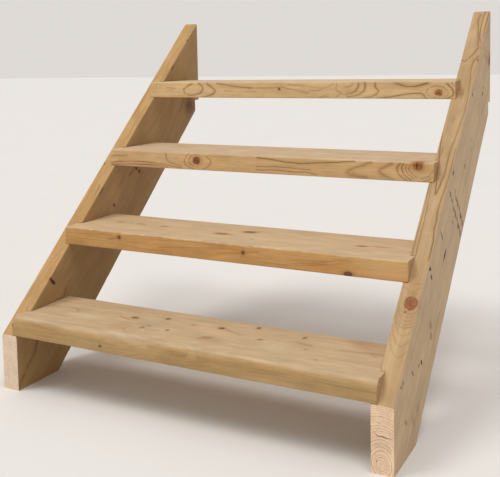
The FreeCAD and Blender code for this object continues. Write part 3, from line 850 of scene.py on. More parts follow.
treadLooks = {
    1: {
        "own": {
            "early": (0.52, 0.345, 0.155), "early2": (0.45, 0.275, 0.105), "late": (0.29, 0.165, 0.06),
            "pith": (112, -22), "wobble": 4.0, "lineStrength": 0.6, "ringWidth": 3.2, "seed": 1.3,
            "faces": ((up, (0.585, 0.435, 0.275), 0.88, 0.25), (front, None, 0, 0.55)),
            "lines": [
                {**boardTop, "wide": 4.2, "strength": 0.60, "paths": [
                    [(-226, 123), (-216, 113), (-200, 107), (-184, 102)], [(28, 62), (40, 70), (54, 80)],
                    [(-372, 119), (-352, 117), (-338, 108), (-334, 100)],
                    [(146, 104), (156, 112), (166, 110)],
                    [(232, 126), (250, 122), (268, 121)], [(333, 121), (360, 124), (392, 130), (418, 127)],
                    [(394, 131), (402, 120), (412, 116)], [(60, 131), (85, 124), (104, 118)]]},
                {**boardTop, "wide": 2.4, "strength": 0.42, "halo": 4, "paths": [
                    [(-430, 112), (-390, 114), (-340, 122), (-280, 119), (-230, 121)],
                    [(-150, 96), (-128, 90), (-112, 84)], [(150, 131), (180, 128), (192, 122)],
                    [(296, 60), (306, 53), (312, 47)], [(-60, 160), (-20, 170), (10, 168)],
                    [(-140, 30), (-160, 45), (-150, 62)], [(330, 186), (352, 178), (362, 168)]]},
                {**boardFront, "wide": 1.8, "strength": 0.54, "shade": 0.2, "paths": [
                    [(-120, 5), (-90, 11), (-60, 14)], [(-130, 3), (-100, 6), (-84, 9)],
                    [(-110, 26), (-70, 31), (-30, 33)],
                    [(40, 17), (70, 20), (90, 24)], [(40, 10), (68, 12), (96, 16)],
                    [(180, 20), (240, 22), (290, 21)]]},
            ]},
        "knots": [
            spot((-179, 119, 45), (10, 6, 22), lift=7, reach=3.2, halo=0.3, strength=0.8,
                 colour=(0.20, 0.10, 0.04), heart=char, rim=0.3),
            spot((-103, 143, 45), (6, 6, 20), lift=4, reach=3, colour=brown, heart=char, rim=0.2),
            spot((43, 138, 45), (7, 6, 20), lift=5, reach=4, halo=0.5, colour=(0.20, 0.10, 0.04),
                 heart=(0.05, 0.02, 0.01), rim=0.2),
            spot((118, 173, 45), (5.5, 6, 20), lift=4, reach=3, colour=brown, heart=char, rim=0.2),
            spot((-190, 0, 14.2), (4, 25, 3.5), lift=4, reach=3.5, colour=brown, heart=char),
            spot((236, 158, 45), (4, 6, 15), lift=4, reach=3.5, strength=0.6, colour=brown),
        ],
        "marks": [
            spot((-124, 70, 45), (8, 11, 8), strength=0.75, colour=brown, ragged=1.0),
            spot((-114, 81, 45), (5, 8, 8), strength=0.4, colour=brown),
            spot((-62, 77, 45), (8, 8, 8), strength=0.85, colour=brown),
            spot((-27, 130, 45), (8, 9, 6), strength=0.35, colour=brown),
            spot((42, 71, 45), (18, 8, 6), strength=0.6, colour=brown),
            spot((154, 109, 45), (11, 7, 6), strength=0.7, colour=brown),
            spot((171, 101, 45), (8, 6, 6), strength=0.35, colour=(0.72, 0.58, 0.42)),
            spot((-114, 54, 45), (8, 6, 6), strength=0.4, colour=(0.70, 0.56, 0.38)),
            spot((266, 95, 45), (6, 7, 6), strength=0.45, colour=brown),
            spot((306, 52, 45), (4, 8, 6), strength=0.35, colour=brown),
            spot((-60, 12, 45), (60, 14, 16), strength=0.28, colour=(0.36, 0.25, 0.11), soft=0.95),
            spot((-230, 20, 40), (70, 26, 20), strength=0.22, colour=(0.40, 0.24, 0.12), soft=0.95),
            spot((-25, 0, 12), (34, 12, 9), strength=0.35, colour=(0.30, 0.19, 0.08), soft=0.95),
            spot((290, 0, 14), (130, 12, 10), strength=0.28, colour=(0.33, 0.21, 0.085), soft=0.95),
            spot((-330, 2, 40), (44, 10, 3), strength=0.5, ragged=1.8, colour=(0.30, 0.19, 0.09)),
            # painted highlight: a pale band along the rounded log edge near the front
            spot((-165, 18, 41), (62, 9, 9), strength=0.55, soft=0.9, colour=(0.76, 0.60, 0.41)),
            spot((205, 84, 45), (56, 30, 10), strength=0.40, soft=0.95, colour=(0.70, 0.55, 0.38)),
            spot((-180, 60, 45), (46, 40, 10), strength=0.44, soft=0.95, colour=(0.40, 0.25, 0.12)),
            spot((60, 60, 45), (60, 34, 10), strength=0.40, soft=0.95, colour=(0.42, 0.26, 0.13)),
            spot((-300, 80, 45), (70, 30, 10), strength=0.48, soft=0.95, colour=(0.70, 0.56, 0.39)),
            spot((378, 172, 45), (62, 42, 20), strength=0.5, soft=0.95, colour=(0.44, 0.235, 0.12)),
            spot((360, 196, 40), (34, 14, 20), strength=0.5, soft=0.95, colour=(0.25, 0.15, 0.09)),
        ],
        "bulges": [spot((-110, 20, 40), (45, 30, 30), lift=12, reach=1.6)],
    },
    2: {
        "own": {
            "early": (0.66, 0.385, 0.15), "early2": (0.60, 0.30, 0.09), "late": (0.37, 0.165, 0.045),
            "pith": (130, 95), "wobble": 4.0, "lineStrength": 0.5, "ringWidth": 3.4, "seed": 4.1,
            "faces": ((up, (0.60, 0.46, 0.30), 0.85, 0.4), (front, None, 0, 0.4)),
            "lines": [
                {**boardFront, "wide": 1.6, "strength": 0.50, "shade": 0.2, "paths": [
                    [(60, 17), (90, 13), (130, 11), (170, 9), (230, 14), (280, 22), (330, 32)],
                    [(120, 24), (160, 21), (200, 22), (240, 25), (285, 30), (330, 34)],
                    [(150, 17), (190, 15), (225, 18), (270, 26), (320, 36)],
                    [(60, 21), (75, 18), (110, 17), (140, 20)],
                    [(-440, 30), (-400, 33), (-330, 36), (-300, 35)],
                    [(-280, 18), (-240, 11), (-190, 9), (-150, 12)],
                    [(-190, 35), (-120, 38), (-60, 39), (20, 37)],
                    [(-160, 18), (-100, 24), (-20, 29), (40, 33)]]},
                {**boardFront, "wide": 3.5, "strength": 0.60, "paths": [
                    [(0, 18), (30, 22), (62, 26)], [(74, 27), (90, 30), (106, 32)],
                    [(-310, 25), (-298, 28), (-286, 31)]]},
                {**boardTop, "wide": 4.5, "strength": 0.70, "paths": [
                    [(-362, 101), (-350, 103), (-338, 104)], [(-331, 103), (-322, 105), (-314, 104)],
                    [(-296, 103), (-284, 104), (-270, 103)], [(-224, 102), (-214, 103), (-204, 102)],
                    [(18, 124), (28, 133), (42, 140), (58, 139)], [(47, 68), (56, 61), (65, 56)],
                    [(305, 88), (322, 94), (345, 100)], [(352, 96), (370, 101), (386, 110)],
                    [(286, 193), (320, 194), (360, 192), (400, 193)]]},
            ]},
        "knots": [
            spot((-280, 0, 32), (5, 25, 5), lift=5, reach=3.5, halo=0.5, colour=(0.28, 0.10, 0.03),
                 heart=char),
            spot((67, 0, 27), (4.5, 25, 4.5), lift=5, reach=4, halo=0.5, colour=(0.22, 0.08, 0.025),
                 heart=char),
            spot((320, 0, 5), (10, 25, 5.5), lift=5, reach=3, halo=0.6, colour=(0.17, 0.06, 0.02),
                 heart=char),
            spot((-35, 83, 45), (18, 8, 12), lift=6, reach=3, halo=0.5, strength=0.75,
                 colour=(0.27, 0.16, 0.06), heart=brown, rim=0.1),
            spot((20, 125, 45), (17, 10, 12), lift=8, reach=3, halo=0.5, strength=0.85, colour=brown,
                 heart=brown, rim=0.1),
        ],
        "marks": [
            spot((-350, 103, 45), (17, 6, 6), strength=0.7, colour=brown),
            spot((-285, 104, 45), (19, 6, 6), strength=0.7, colour=brown),
            spot((-215, 103, 45), (15, 6, 6), strength=0.7, colour=brown),
            spot((310, 192, 45), (6, 5, 5), strength=0.8, colour=char),
            spot((318, 92, 45), (20, 10, 8), strength=0.85, colour=brown, ragged=1.0),
            spot((356, 104, 45), (22, 9, 8), strength=0.35, colour=(0.36, 0.18, 0.08)),
            spot((400, 0, 24), (110, 8, 40), strength=0.5, soft=0.95, ragged=0.0,
                 colour=(0.80, 0.53, 0.25)),
            spot((-400, 0, 8), (30, 8, 9), strength=0.3, colour=(0.42, 0.25, 0.10), soft=0.95),
        ] + [
            # little chips along the front arris, pale where the wood is fresh
            spot((-420 + i * 41 + (i * 11) % 17, 1.5, 42.6 + (i * 5) % 3 * 0.6),
                 (5 + (i * 5) % 9, 4, 2.1), strength=0.45, ragged=2.2,
                 colour=(0.76, 0.58, 0.37) if i % 3 else (0.34, 0.18, 0.07)) for i in range(16)
        ],
    },
    3: {
        "own": {
            "early": (0.74, 0.50, 0.255), "early2": (0.66, 0.40, 0.17), "late": (0.28, 0.13, 0.036),
            "pith": (95, 15), "pithTurn": (0.6, 3.0), "wobble": 4.0, "lineStrength": 0.7, "ringWidth": 4.6,
            "seed": 8.4, "faces": ((up, (0.60, 0.465, 0.32), 0.85, 0.35), (front, None, 0, 0.10)),
            "lines": [
                {**boardFront, "wide": 2.6, "strength": 0.94, "paths": [
                    [(-450, 9), (-420, 13), (-385, 14.5), (-345, 14.5), (-310, 13), (-280, 10), (-255, 7),
                     (-225, 4)],
                    [(-450, 4), (-400, 6), (-350, 8), (-300, 6.5), (-265, 4)],
                    [(5, 40), (40, 37), (80, 32), (118, 30), (150, 32), (190, 35), (225, 38), (262, 42)],
                    [(-268, 39), (-270, 32), (-266, 25), (-261, 19), (-255, 15), (-238, 12), (-222, 7)],
                    [(372, 42), (366, 33), (365, 25), (368, 17), (376, 9), (390, 2)],
                    [(381, 43), (375.5, 34), (376, 26), (381, 17), (389, 9), (398, 3)]]},
                {**boardFront, "wide": 1.9, "strength": 0.90, "shade": 0.2, "paths": [
                    [(388, 40), (384, 33), (386, 24), (393, 15), (404, 7)],
                    [(394, 37), (392, 30), (397, 20), (410, 11)],
                    [(448, 27), (441, 18), (432, 11), (420, 8)], [(446, 13), (436, 5), (424, 2)],
                    [(-195, 43), (-205, 36), (-210, 27), (-212, 18), (-207, 11), (-195, 6), (-183, 3)],
                    [(-188, 38), (-196, 32), (-198, 25), (-194, 15), (-184, 10)],
                    [(-145, 37), (-134, 30), (-130, 22), (-138, 11), (-153, 4)],
                    [(110, 8), (135, 10), (165, 4)],
                    [(0, 9), (60, 11), (110, 8)], [(-450, 26), (-425, 28), (-395, 31)],
                    [(0, 17), (60, 19), (150, 16)]]},
                {**boardFront, "wide": 2.6, "strength": 0.74, "halo": 3.6, "shade": 0.6, "paths": [
                    [(302, 42), (282, 33), (262, 26), (246, 19), (243.5, 14), (250, 9), (265, 6.5),
                     (290, 5)],
                    [(352, 41), (338, 33), (325, 26), (321.5, 21), (328, 14), (340, 8), (356, 2)]]},
                {**boardTop, "wide": 4.2, "strength": 0.48, "paths": [
                    [(-324, 123), (-305, 127), (-286, 125)], [(-158, 81), (-140, 84), (-122, 82)],
                    [(-60, 40), (20, 46), (120, 42)], [(100, 110), (160, 116), (250, 111)]]},
            ]},
        "knots": [
            spot((-174, 0, 25), (10.5, 30, 9.5), lift=10, reach=3.0, halo=0.45, rim=0.7,
                 colour=(0.30, 0.085, 0.022), heart=(0.11, 0.03, 0.01)),
            spot((414, 2, 39), (16.5, 34, 15), lift=20, reach=4.2, halo=0.35, rim=0.15,
                 colour=(0.42, 0.15, 0.05), heart=(0.14, 0.04, 0.012), soft=0.4),
        ],
        "marks": [
            spot((-158, 0, 26), (7, 6, 8), strength=0.4, colour=(0.55, 0.27, 0.10), soft=0.9),
            spot((411, 0, 37), (2.6, 9, 12), strength=1.0, ragged=0.8, colour=(0.10, 0.03, 0.01)),
            spot((421, 0, 36), (2.0, 9, 10), strength=0.8, ragged=0.8, colour=(0.13, 0.04, 0.015)),
            spot((-45, 0, 27), (26, 6, 3.2), strength=0.4, colour=(0.50, 0.25, 0.09), soft=0.9),
            spot((-423, 0, 29), (26, 6, 5), strength=0.35, colour=(0.50, 0.26, 0.10), soft=0.9),
            spot((258, 0, 14), (15, 6, 6), strength=0.35, colour=(0.45, 0.24, 0.09), soft=0.9),
            spot((-305, 125, 45), (16, 6, 6), strength=0.35, colour=brown),
            spot((408, 85, 45), (14, 6, 6), strength=0.35, colour=brown),
            spot((-140, 83, 45), (16, 6, 6), strength=0.35, colour=brown),
        ],
        "bulges": [spot((-268, 0, 24), (35, 40, 22), lift=-7, reach=1.2)],
    },
    4: {
        "own": {
            "early": (0.80, 0.57, 0.30), "early2": (0.70, 0.46, 0.21), "late": (0.29, 0.145, 0.04),
            "pith": (90, 24), "wobble": 2.6, "lineStrength": 0.8, "ringWidth": 4.6, "seed": 12.7,
            "phase": 0.62,
            "faces": ((up, (0.62, 0.475, 0.32), 0.8, 0.35), (front, None, 0, 0.06)),
            "lines": [
                {**boardFront, "wide": 3.0, "strength": 1.00, "paths": [
                    [(-305, 40), (-322, 33), (-335, 24), (-331, 12), (-316, 7), (-296, 8), (-279, 14),
                     (-270, 24),
                     (-272, 32), (-283, 41)],
                    [(-256, 40), (-240, 30), (-229, 20), (-237, 10), (-256, 4), (-275, 0)],
                    [(-222, 41), (-190, 36), (-165, 32), (-145, 29.5), (-112, 28)],
                    [(244, 41), (246, 30), (254, 20), (248, 12), (235, 6), (215, 2), (198, -1)],
                    [(217, 40), (219, 30), (215, 20), (205, 12), (190, 7), (168, 5)],
                    [(200, 40), (199, 29), (193, 20), (182, 14), (166, 12)],
                    [(252, 0), (280, 4), (305, 8), (325, 12), (350, 14.5), (365, 14), (372, 9), (376, 3),
                     (386, -1)],
                    [(430, 38), (440, 28), (446, 18), (444, 10), (433, 3), (420, -1)]]},
                {**boardFront, "wide": 4.5, "strength": 0.96, "paths": [
                    [(298, 40), (315, 34.5), (330, 31), (348, 31.5), (362, 34.5), (382, 40)]]},
                {**boardFront, "wide": 2.1, "strength": 0.66, "shade": 0.25, "paths": [
                    [(0, 37), (25, 35), (50, 32), (80, 29), (100, 27), (115, 31), (131, 39)],
                    [(-112, 28), (-75, 27), (-40, 29), (-20, 31), (0, 26), (20, 23), (40, 18), (60, 14)],
                    [(-396, 28), (-381, 30), (-364, 26), (-374, 21), (-393, 20)],
                    [(183, 39), (178, 32), (163, 30)],
                    [(141, 40), (137, 29), (140, 20), (152, 14)],
                    [(138, 5), (150, 12), (165, 10), (172, 5)],
                    [(84, 0), (104, 7), (116, 6)], [(382, 27), (378, 18), (384, 9), (396, 4), (410, 1)],
                    [(388, 29), (402, 33), (420, 30), (431, 22), (432, 12), (424, 5)],
                    [(440, 40), (450, 30)],
                    [(60, 22), (80, 20), (96, 22)], [(-200, 20), (-150, 17), (-100, 18)]]},
                {**boardTop, "wide": 4.2, "strength": 0.42, "paths": [
                    [(-200, 60), (-120, 66), (0, 60)], [(120, 100), (220, 108), (330, 100)],
                    [(-380, 130), (-250, 138)]]},
            ]},
        "knots": [
            spot((-28, 0, 25), (3.6, 20, 3.4), lift=4, reach=4, colour=brown, heart=char),
            spot((409, 0, 16), (9.5, 25, 8), lift=12, reach=3.6, halo=0.35, ragged=1.3,
                 colour=(0.44, 0.16, 0.05), heart=(0.16, 0.04, 0.012), rim=0.2),
        ],
        "marks": [
            spot((50, 0, 14), (14, 6, 6), strength=0.3, colour=(0.45, 0.28, 0.12), soft=0.95),
            spot((170, 0, 24), (26, 6, 12), strength=0.3, colour=(0.58, 0.36, 0.17), soft=0.95),
            spot((-381, 0, 25), (16, 6, 6), strength=0.3, colour=(0.55, 0.33, 0.15), soft=0.95),
            spot((398, 0, 4), (4, 6, 3), strength=0.5, colour=rust),
            spot((420, 0, 28), (4, 6, 3), strength=0.4, colour=rust),
        ],
        "bulges": [spot((-300, 0, 23), (42, 40, 16), lift=8, reach=1.2),
                   spot((160, 0, 46), (62, 40, 36), lift=17, reach=1.1),
                   spot((330, 0, 50), (70, 40, 22), lift=-8, reach=1.0)],
    },
}

for number in range(1, flight["treads"] + 1):
    low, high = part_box(f"tread_{number}")
    board = makeTread(number)
    cutWith(board, holeCutters([number], (-1, 1)))
    smooth(board)
    said = treadLooks[number]
    timber = makeTimber(f"treadPine_{number}", said["own"], said["knots"], said["marks"],
                        said.get("bulges", ()), origin=(0, -low.y, -low.z))
    dress(board, timber)
    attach(board, "root")
    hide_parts(f"tread_{number}")
print("treads laid")


# the two sloping side boards

stringer = {
    "blankLength": 1.5,        # the sawn blank before its ends are cut
    "blankBelow": 0.2,         # how far it starts below the front corner
    "arris": 4.0 * mm,
    "sliceEvery": 12.0 * mm,
    "wearDepth": 0.9 * mm,
    "housingPlay": 0.9 * mm,
    "housingDeep": 12.2 * mm,
    "splits": {
        "left": ((-438, (-1, 9), (60, 76), 2.8, 11), (-438, (22, 72), (44, 46), 1.1, 4),
                 (-438, (124, 241), (140, 223), 4.5, 7)),
        "right": ((483, (374, 347), (352, 318), 1.1, 5), (483, (112, 160), (122, 150), 2.2, 3),
                  (483, (248, 318), (262, 304), 1.6, 3)),
    },
    "slopeSplits": {
        "left": (((440, 11), (474, 13), 1.4, 2),),
        "right": (((995, 37), (957, 21), 0.8, 2), ((957, 21), (941, 4), 0.9, 2)),
    },
    "footSplits": {
        "left": (((6, 96), (24, 101), 0.9, 5),),
        "right": (((2, 78), (43.6, 70), 2.4, 15), ((8, 101), (24, 98), 0.8, 5),
                  ((12, 22), (13, 29), 1.2, 4)),
    },
}


def upSlope(along, across):
    # from the corner where the foot's plumb cut meets the sloping front, in the yz plane
    y = frontY + along * math.cos(slope) - across * math.sin(slope)
    z = flight["footHeight"] + along * math.sin(slope) + across * math.cos(slope)
    return Vector((0, y, z))


def makeStringer(side):
    word = "left" if side < 0 else "right"
    low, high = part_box(f"stringer_{word}")
    # a plain sawn board first, level, then tipped up to the slope
    long, below, wide = stringer["blankLength"], stringer["blankBelow"], flight["boardWidth"]
    board = addBlock(f"sideBoard_{word}", (low.x, -below, -wide), (high.x, long - below, 0))
    for x in (low.x, high.x):
        for z in (-wide, 0):
            roundEdges(board, lambda a, b: all(near(p.x, x) and near(p.z, z) for p in (a, b)),
                       stringer["arris"], 4)
    count = int(long / stringer["sliceEvery"])
    crossCut(board, [(0, -below + long * i / count, 0) for i in range(1, count)], (0, 1, 0))

    def arrisOf(p):
        x = -1 if p.x < low.x + 5 * mm else (1 if p.x > high.x - 5 * mm else 0)
        z = -1 if p.z < -wide + 5 * mm else (1 if p.z > -5 * mm else 0)
        if not x or not z:
            return None
        flatX, flatZ = near(p.x, low.x) or near(p.x, high.x), near(p.z, 0) or near(p.z, -wide)
        return (0 if flatX else -x * 0.7, 0, 0 if flatZ else -z * 0.7)

    wearArrises(board, stringer["wearDepth"], 31.0 + side, arrisOf)
    board.rotation_euler = (slope, 0, 0)
    board.location = (0, frontY, flight["footHeight"])
    settle(board)
    sawOff(board, (0, 0, 0), (0, 0, -1))
    sawOff(board, (0, frontY, 0), (0, -1, 0))
    sawOff(board, (0, high.y, 0), (0, 1, 0))
    notch = addBlock("notch", (low.x - 0.01, high.y - flight["notchDepth"], flight["notchBottom"] - 0.05),
                     (high.x + 0.01, high.y + 0.01, flight["notchTop"]))
    cutWith(board, [notch])
    # housings for the treads
    inner = high.x if side < 0 else low.x
    for number in range(1, flight["treads"] + 1):
        tLow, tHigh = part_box(f"tread_{number}")
        play = stringer["housingPlay"]
        start, stop = sorted((inner - side * 0.01, inner + side * stringer["housingDeep"]))
        cutter = addBlock("housing", (start, tLow.y - play, tLow.z - play),
                          (stop, tHigh.y + play, tHigh.z + play))
        radius = tread["arris"] + play
        roundEdges(cutter, lambda a, b: near(a.y, b.y) and near(a.z, b.z), radius, 4)
        cutWith(board, [cutter])
    cutWith(board, holeCutters(range(1, flight["treads"] + 1), (side,)))
    for x, start, stop, wide, deep in stringer["splits"][word]:
        # on a side face, x is that face; the ends are (back from the front cut, up), all in mm
        ends = [Vector((x * mm, frontY + back * mm, up * mm)) for back, up in (start, stop)]
        into = (1 if x < low.x / mm + 5 else -1, 0, 0)
        cutWith(board, [makeSplit(*ends, wide * mm, deep * mm, into, seed=start[0])])
    for start, stop, wide, deep in stringer["slopeSplits"][word]:
        # on the sloping front: (up the slope, distance from the inner face)
        ends = [upSlope(along * mm, 0) + Vector((inner + side * off * mm, 0, 0)) for along,
                off in (start, stop)]
        into = (0, math.sin(slope), -math.cos(slope))
        cutWith(board, [makeSplit(*ends, wide * mm, deep * mm, into, seed=start[0])])
    for start, stop, wide, deep in stringer["footSplits"][word]:
        # on the plumb cut of the foot: (distance from the inner face, up)
        ends = [Vector((inner + side * off * mm, frontY, up * mm)) for off, up in (start, stop)]
        cutWith(board, [makeSplit(*ends, wide * mm, deep * mm, (0, 1, 0), seed=start[1])])
    smooth(board)
    return board


side0 = upSlope(0, 0)
uphill = (0, -math.sin(slope), math.cos(slope))
rightFront = {"way": uphill, "a": (1, 0, 0), "b": (0, -1,
                                                   0)}   # paths there: up the slope, out from the inner face
leftFront = {"way": uphill, "a": (1, 0, 0), "b": (0, 1, 0)}
rightOuter = {"way": (1, 0, 0), "a": (1, 0, 0), "b": (0, 0,
                                                      1)}  # up the slope, across from the sloping front
leftInner = {"way": (1, 0, 0), "a": (1, 0, 0), "b": (0, 0, 1)}


def fleck(along, across, long, wide, colour, strength, soft=0.3):
    # a small stain on the right board's outer face
    return spot((along, -45, -across), (long, 3, wide), colour=colour, strength=strength, soft=soft)


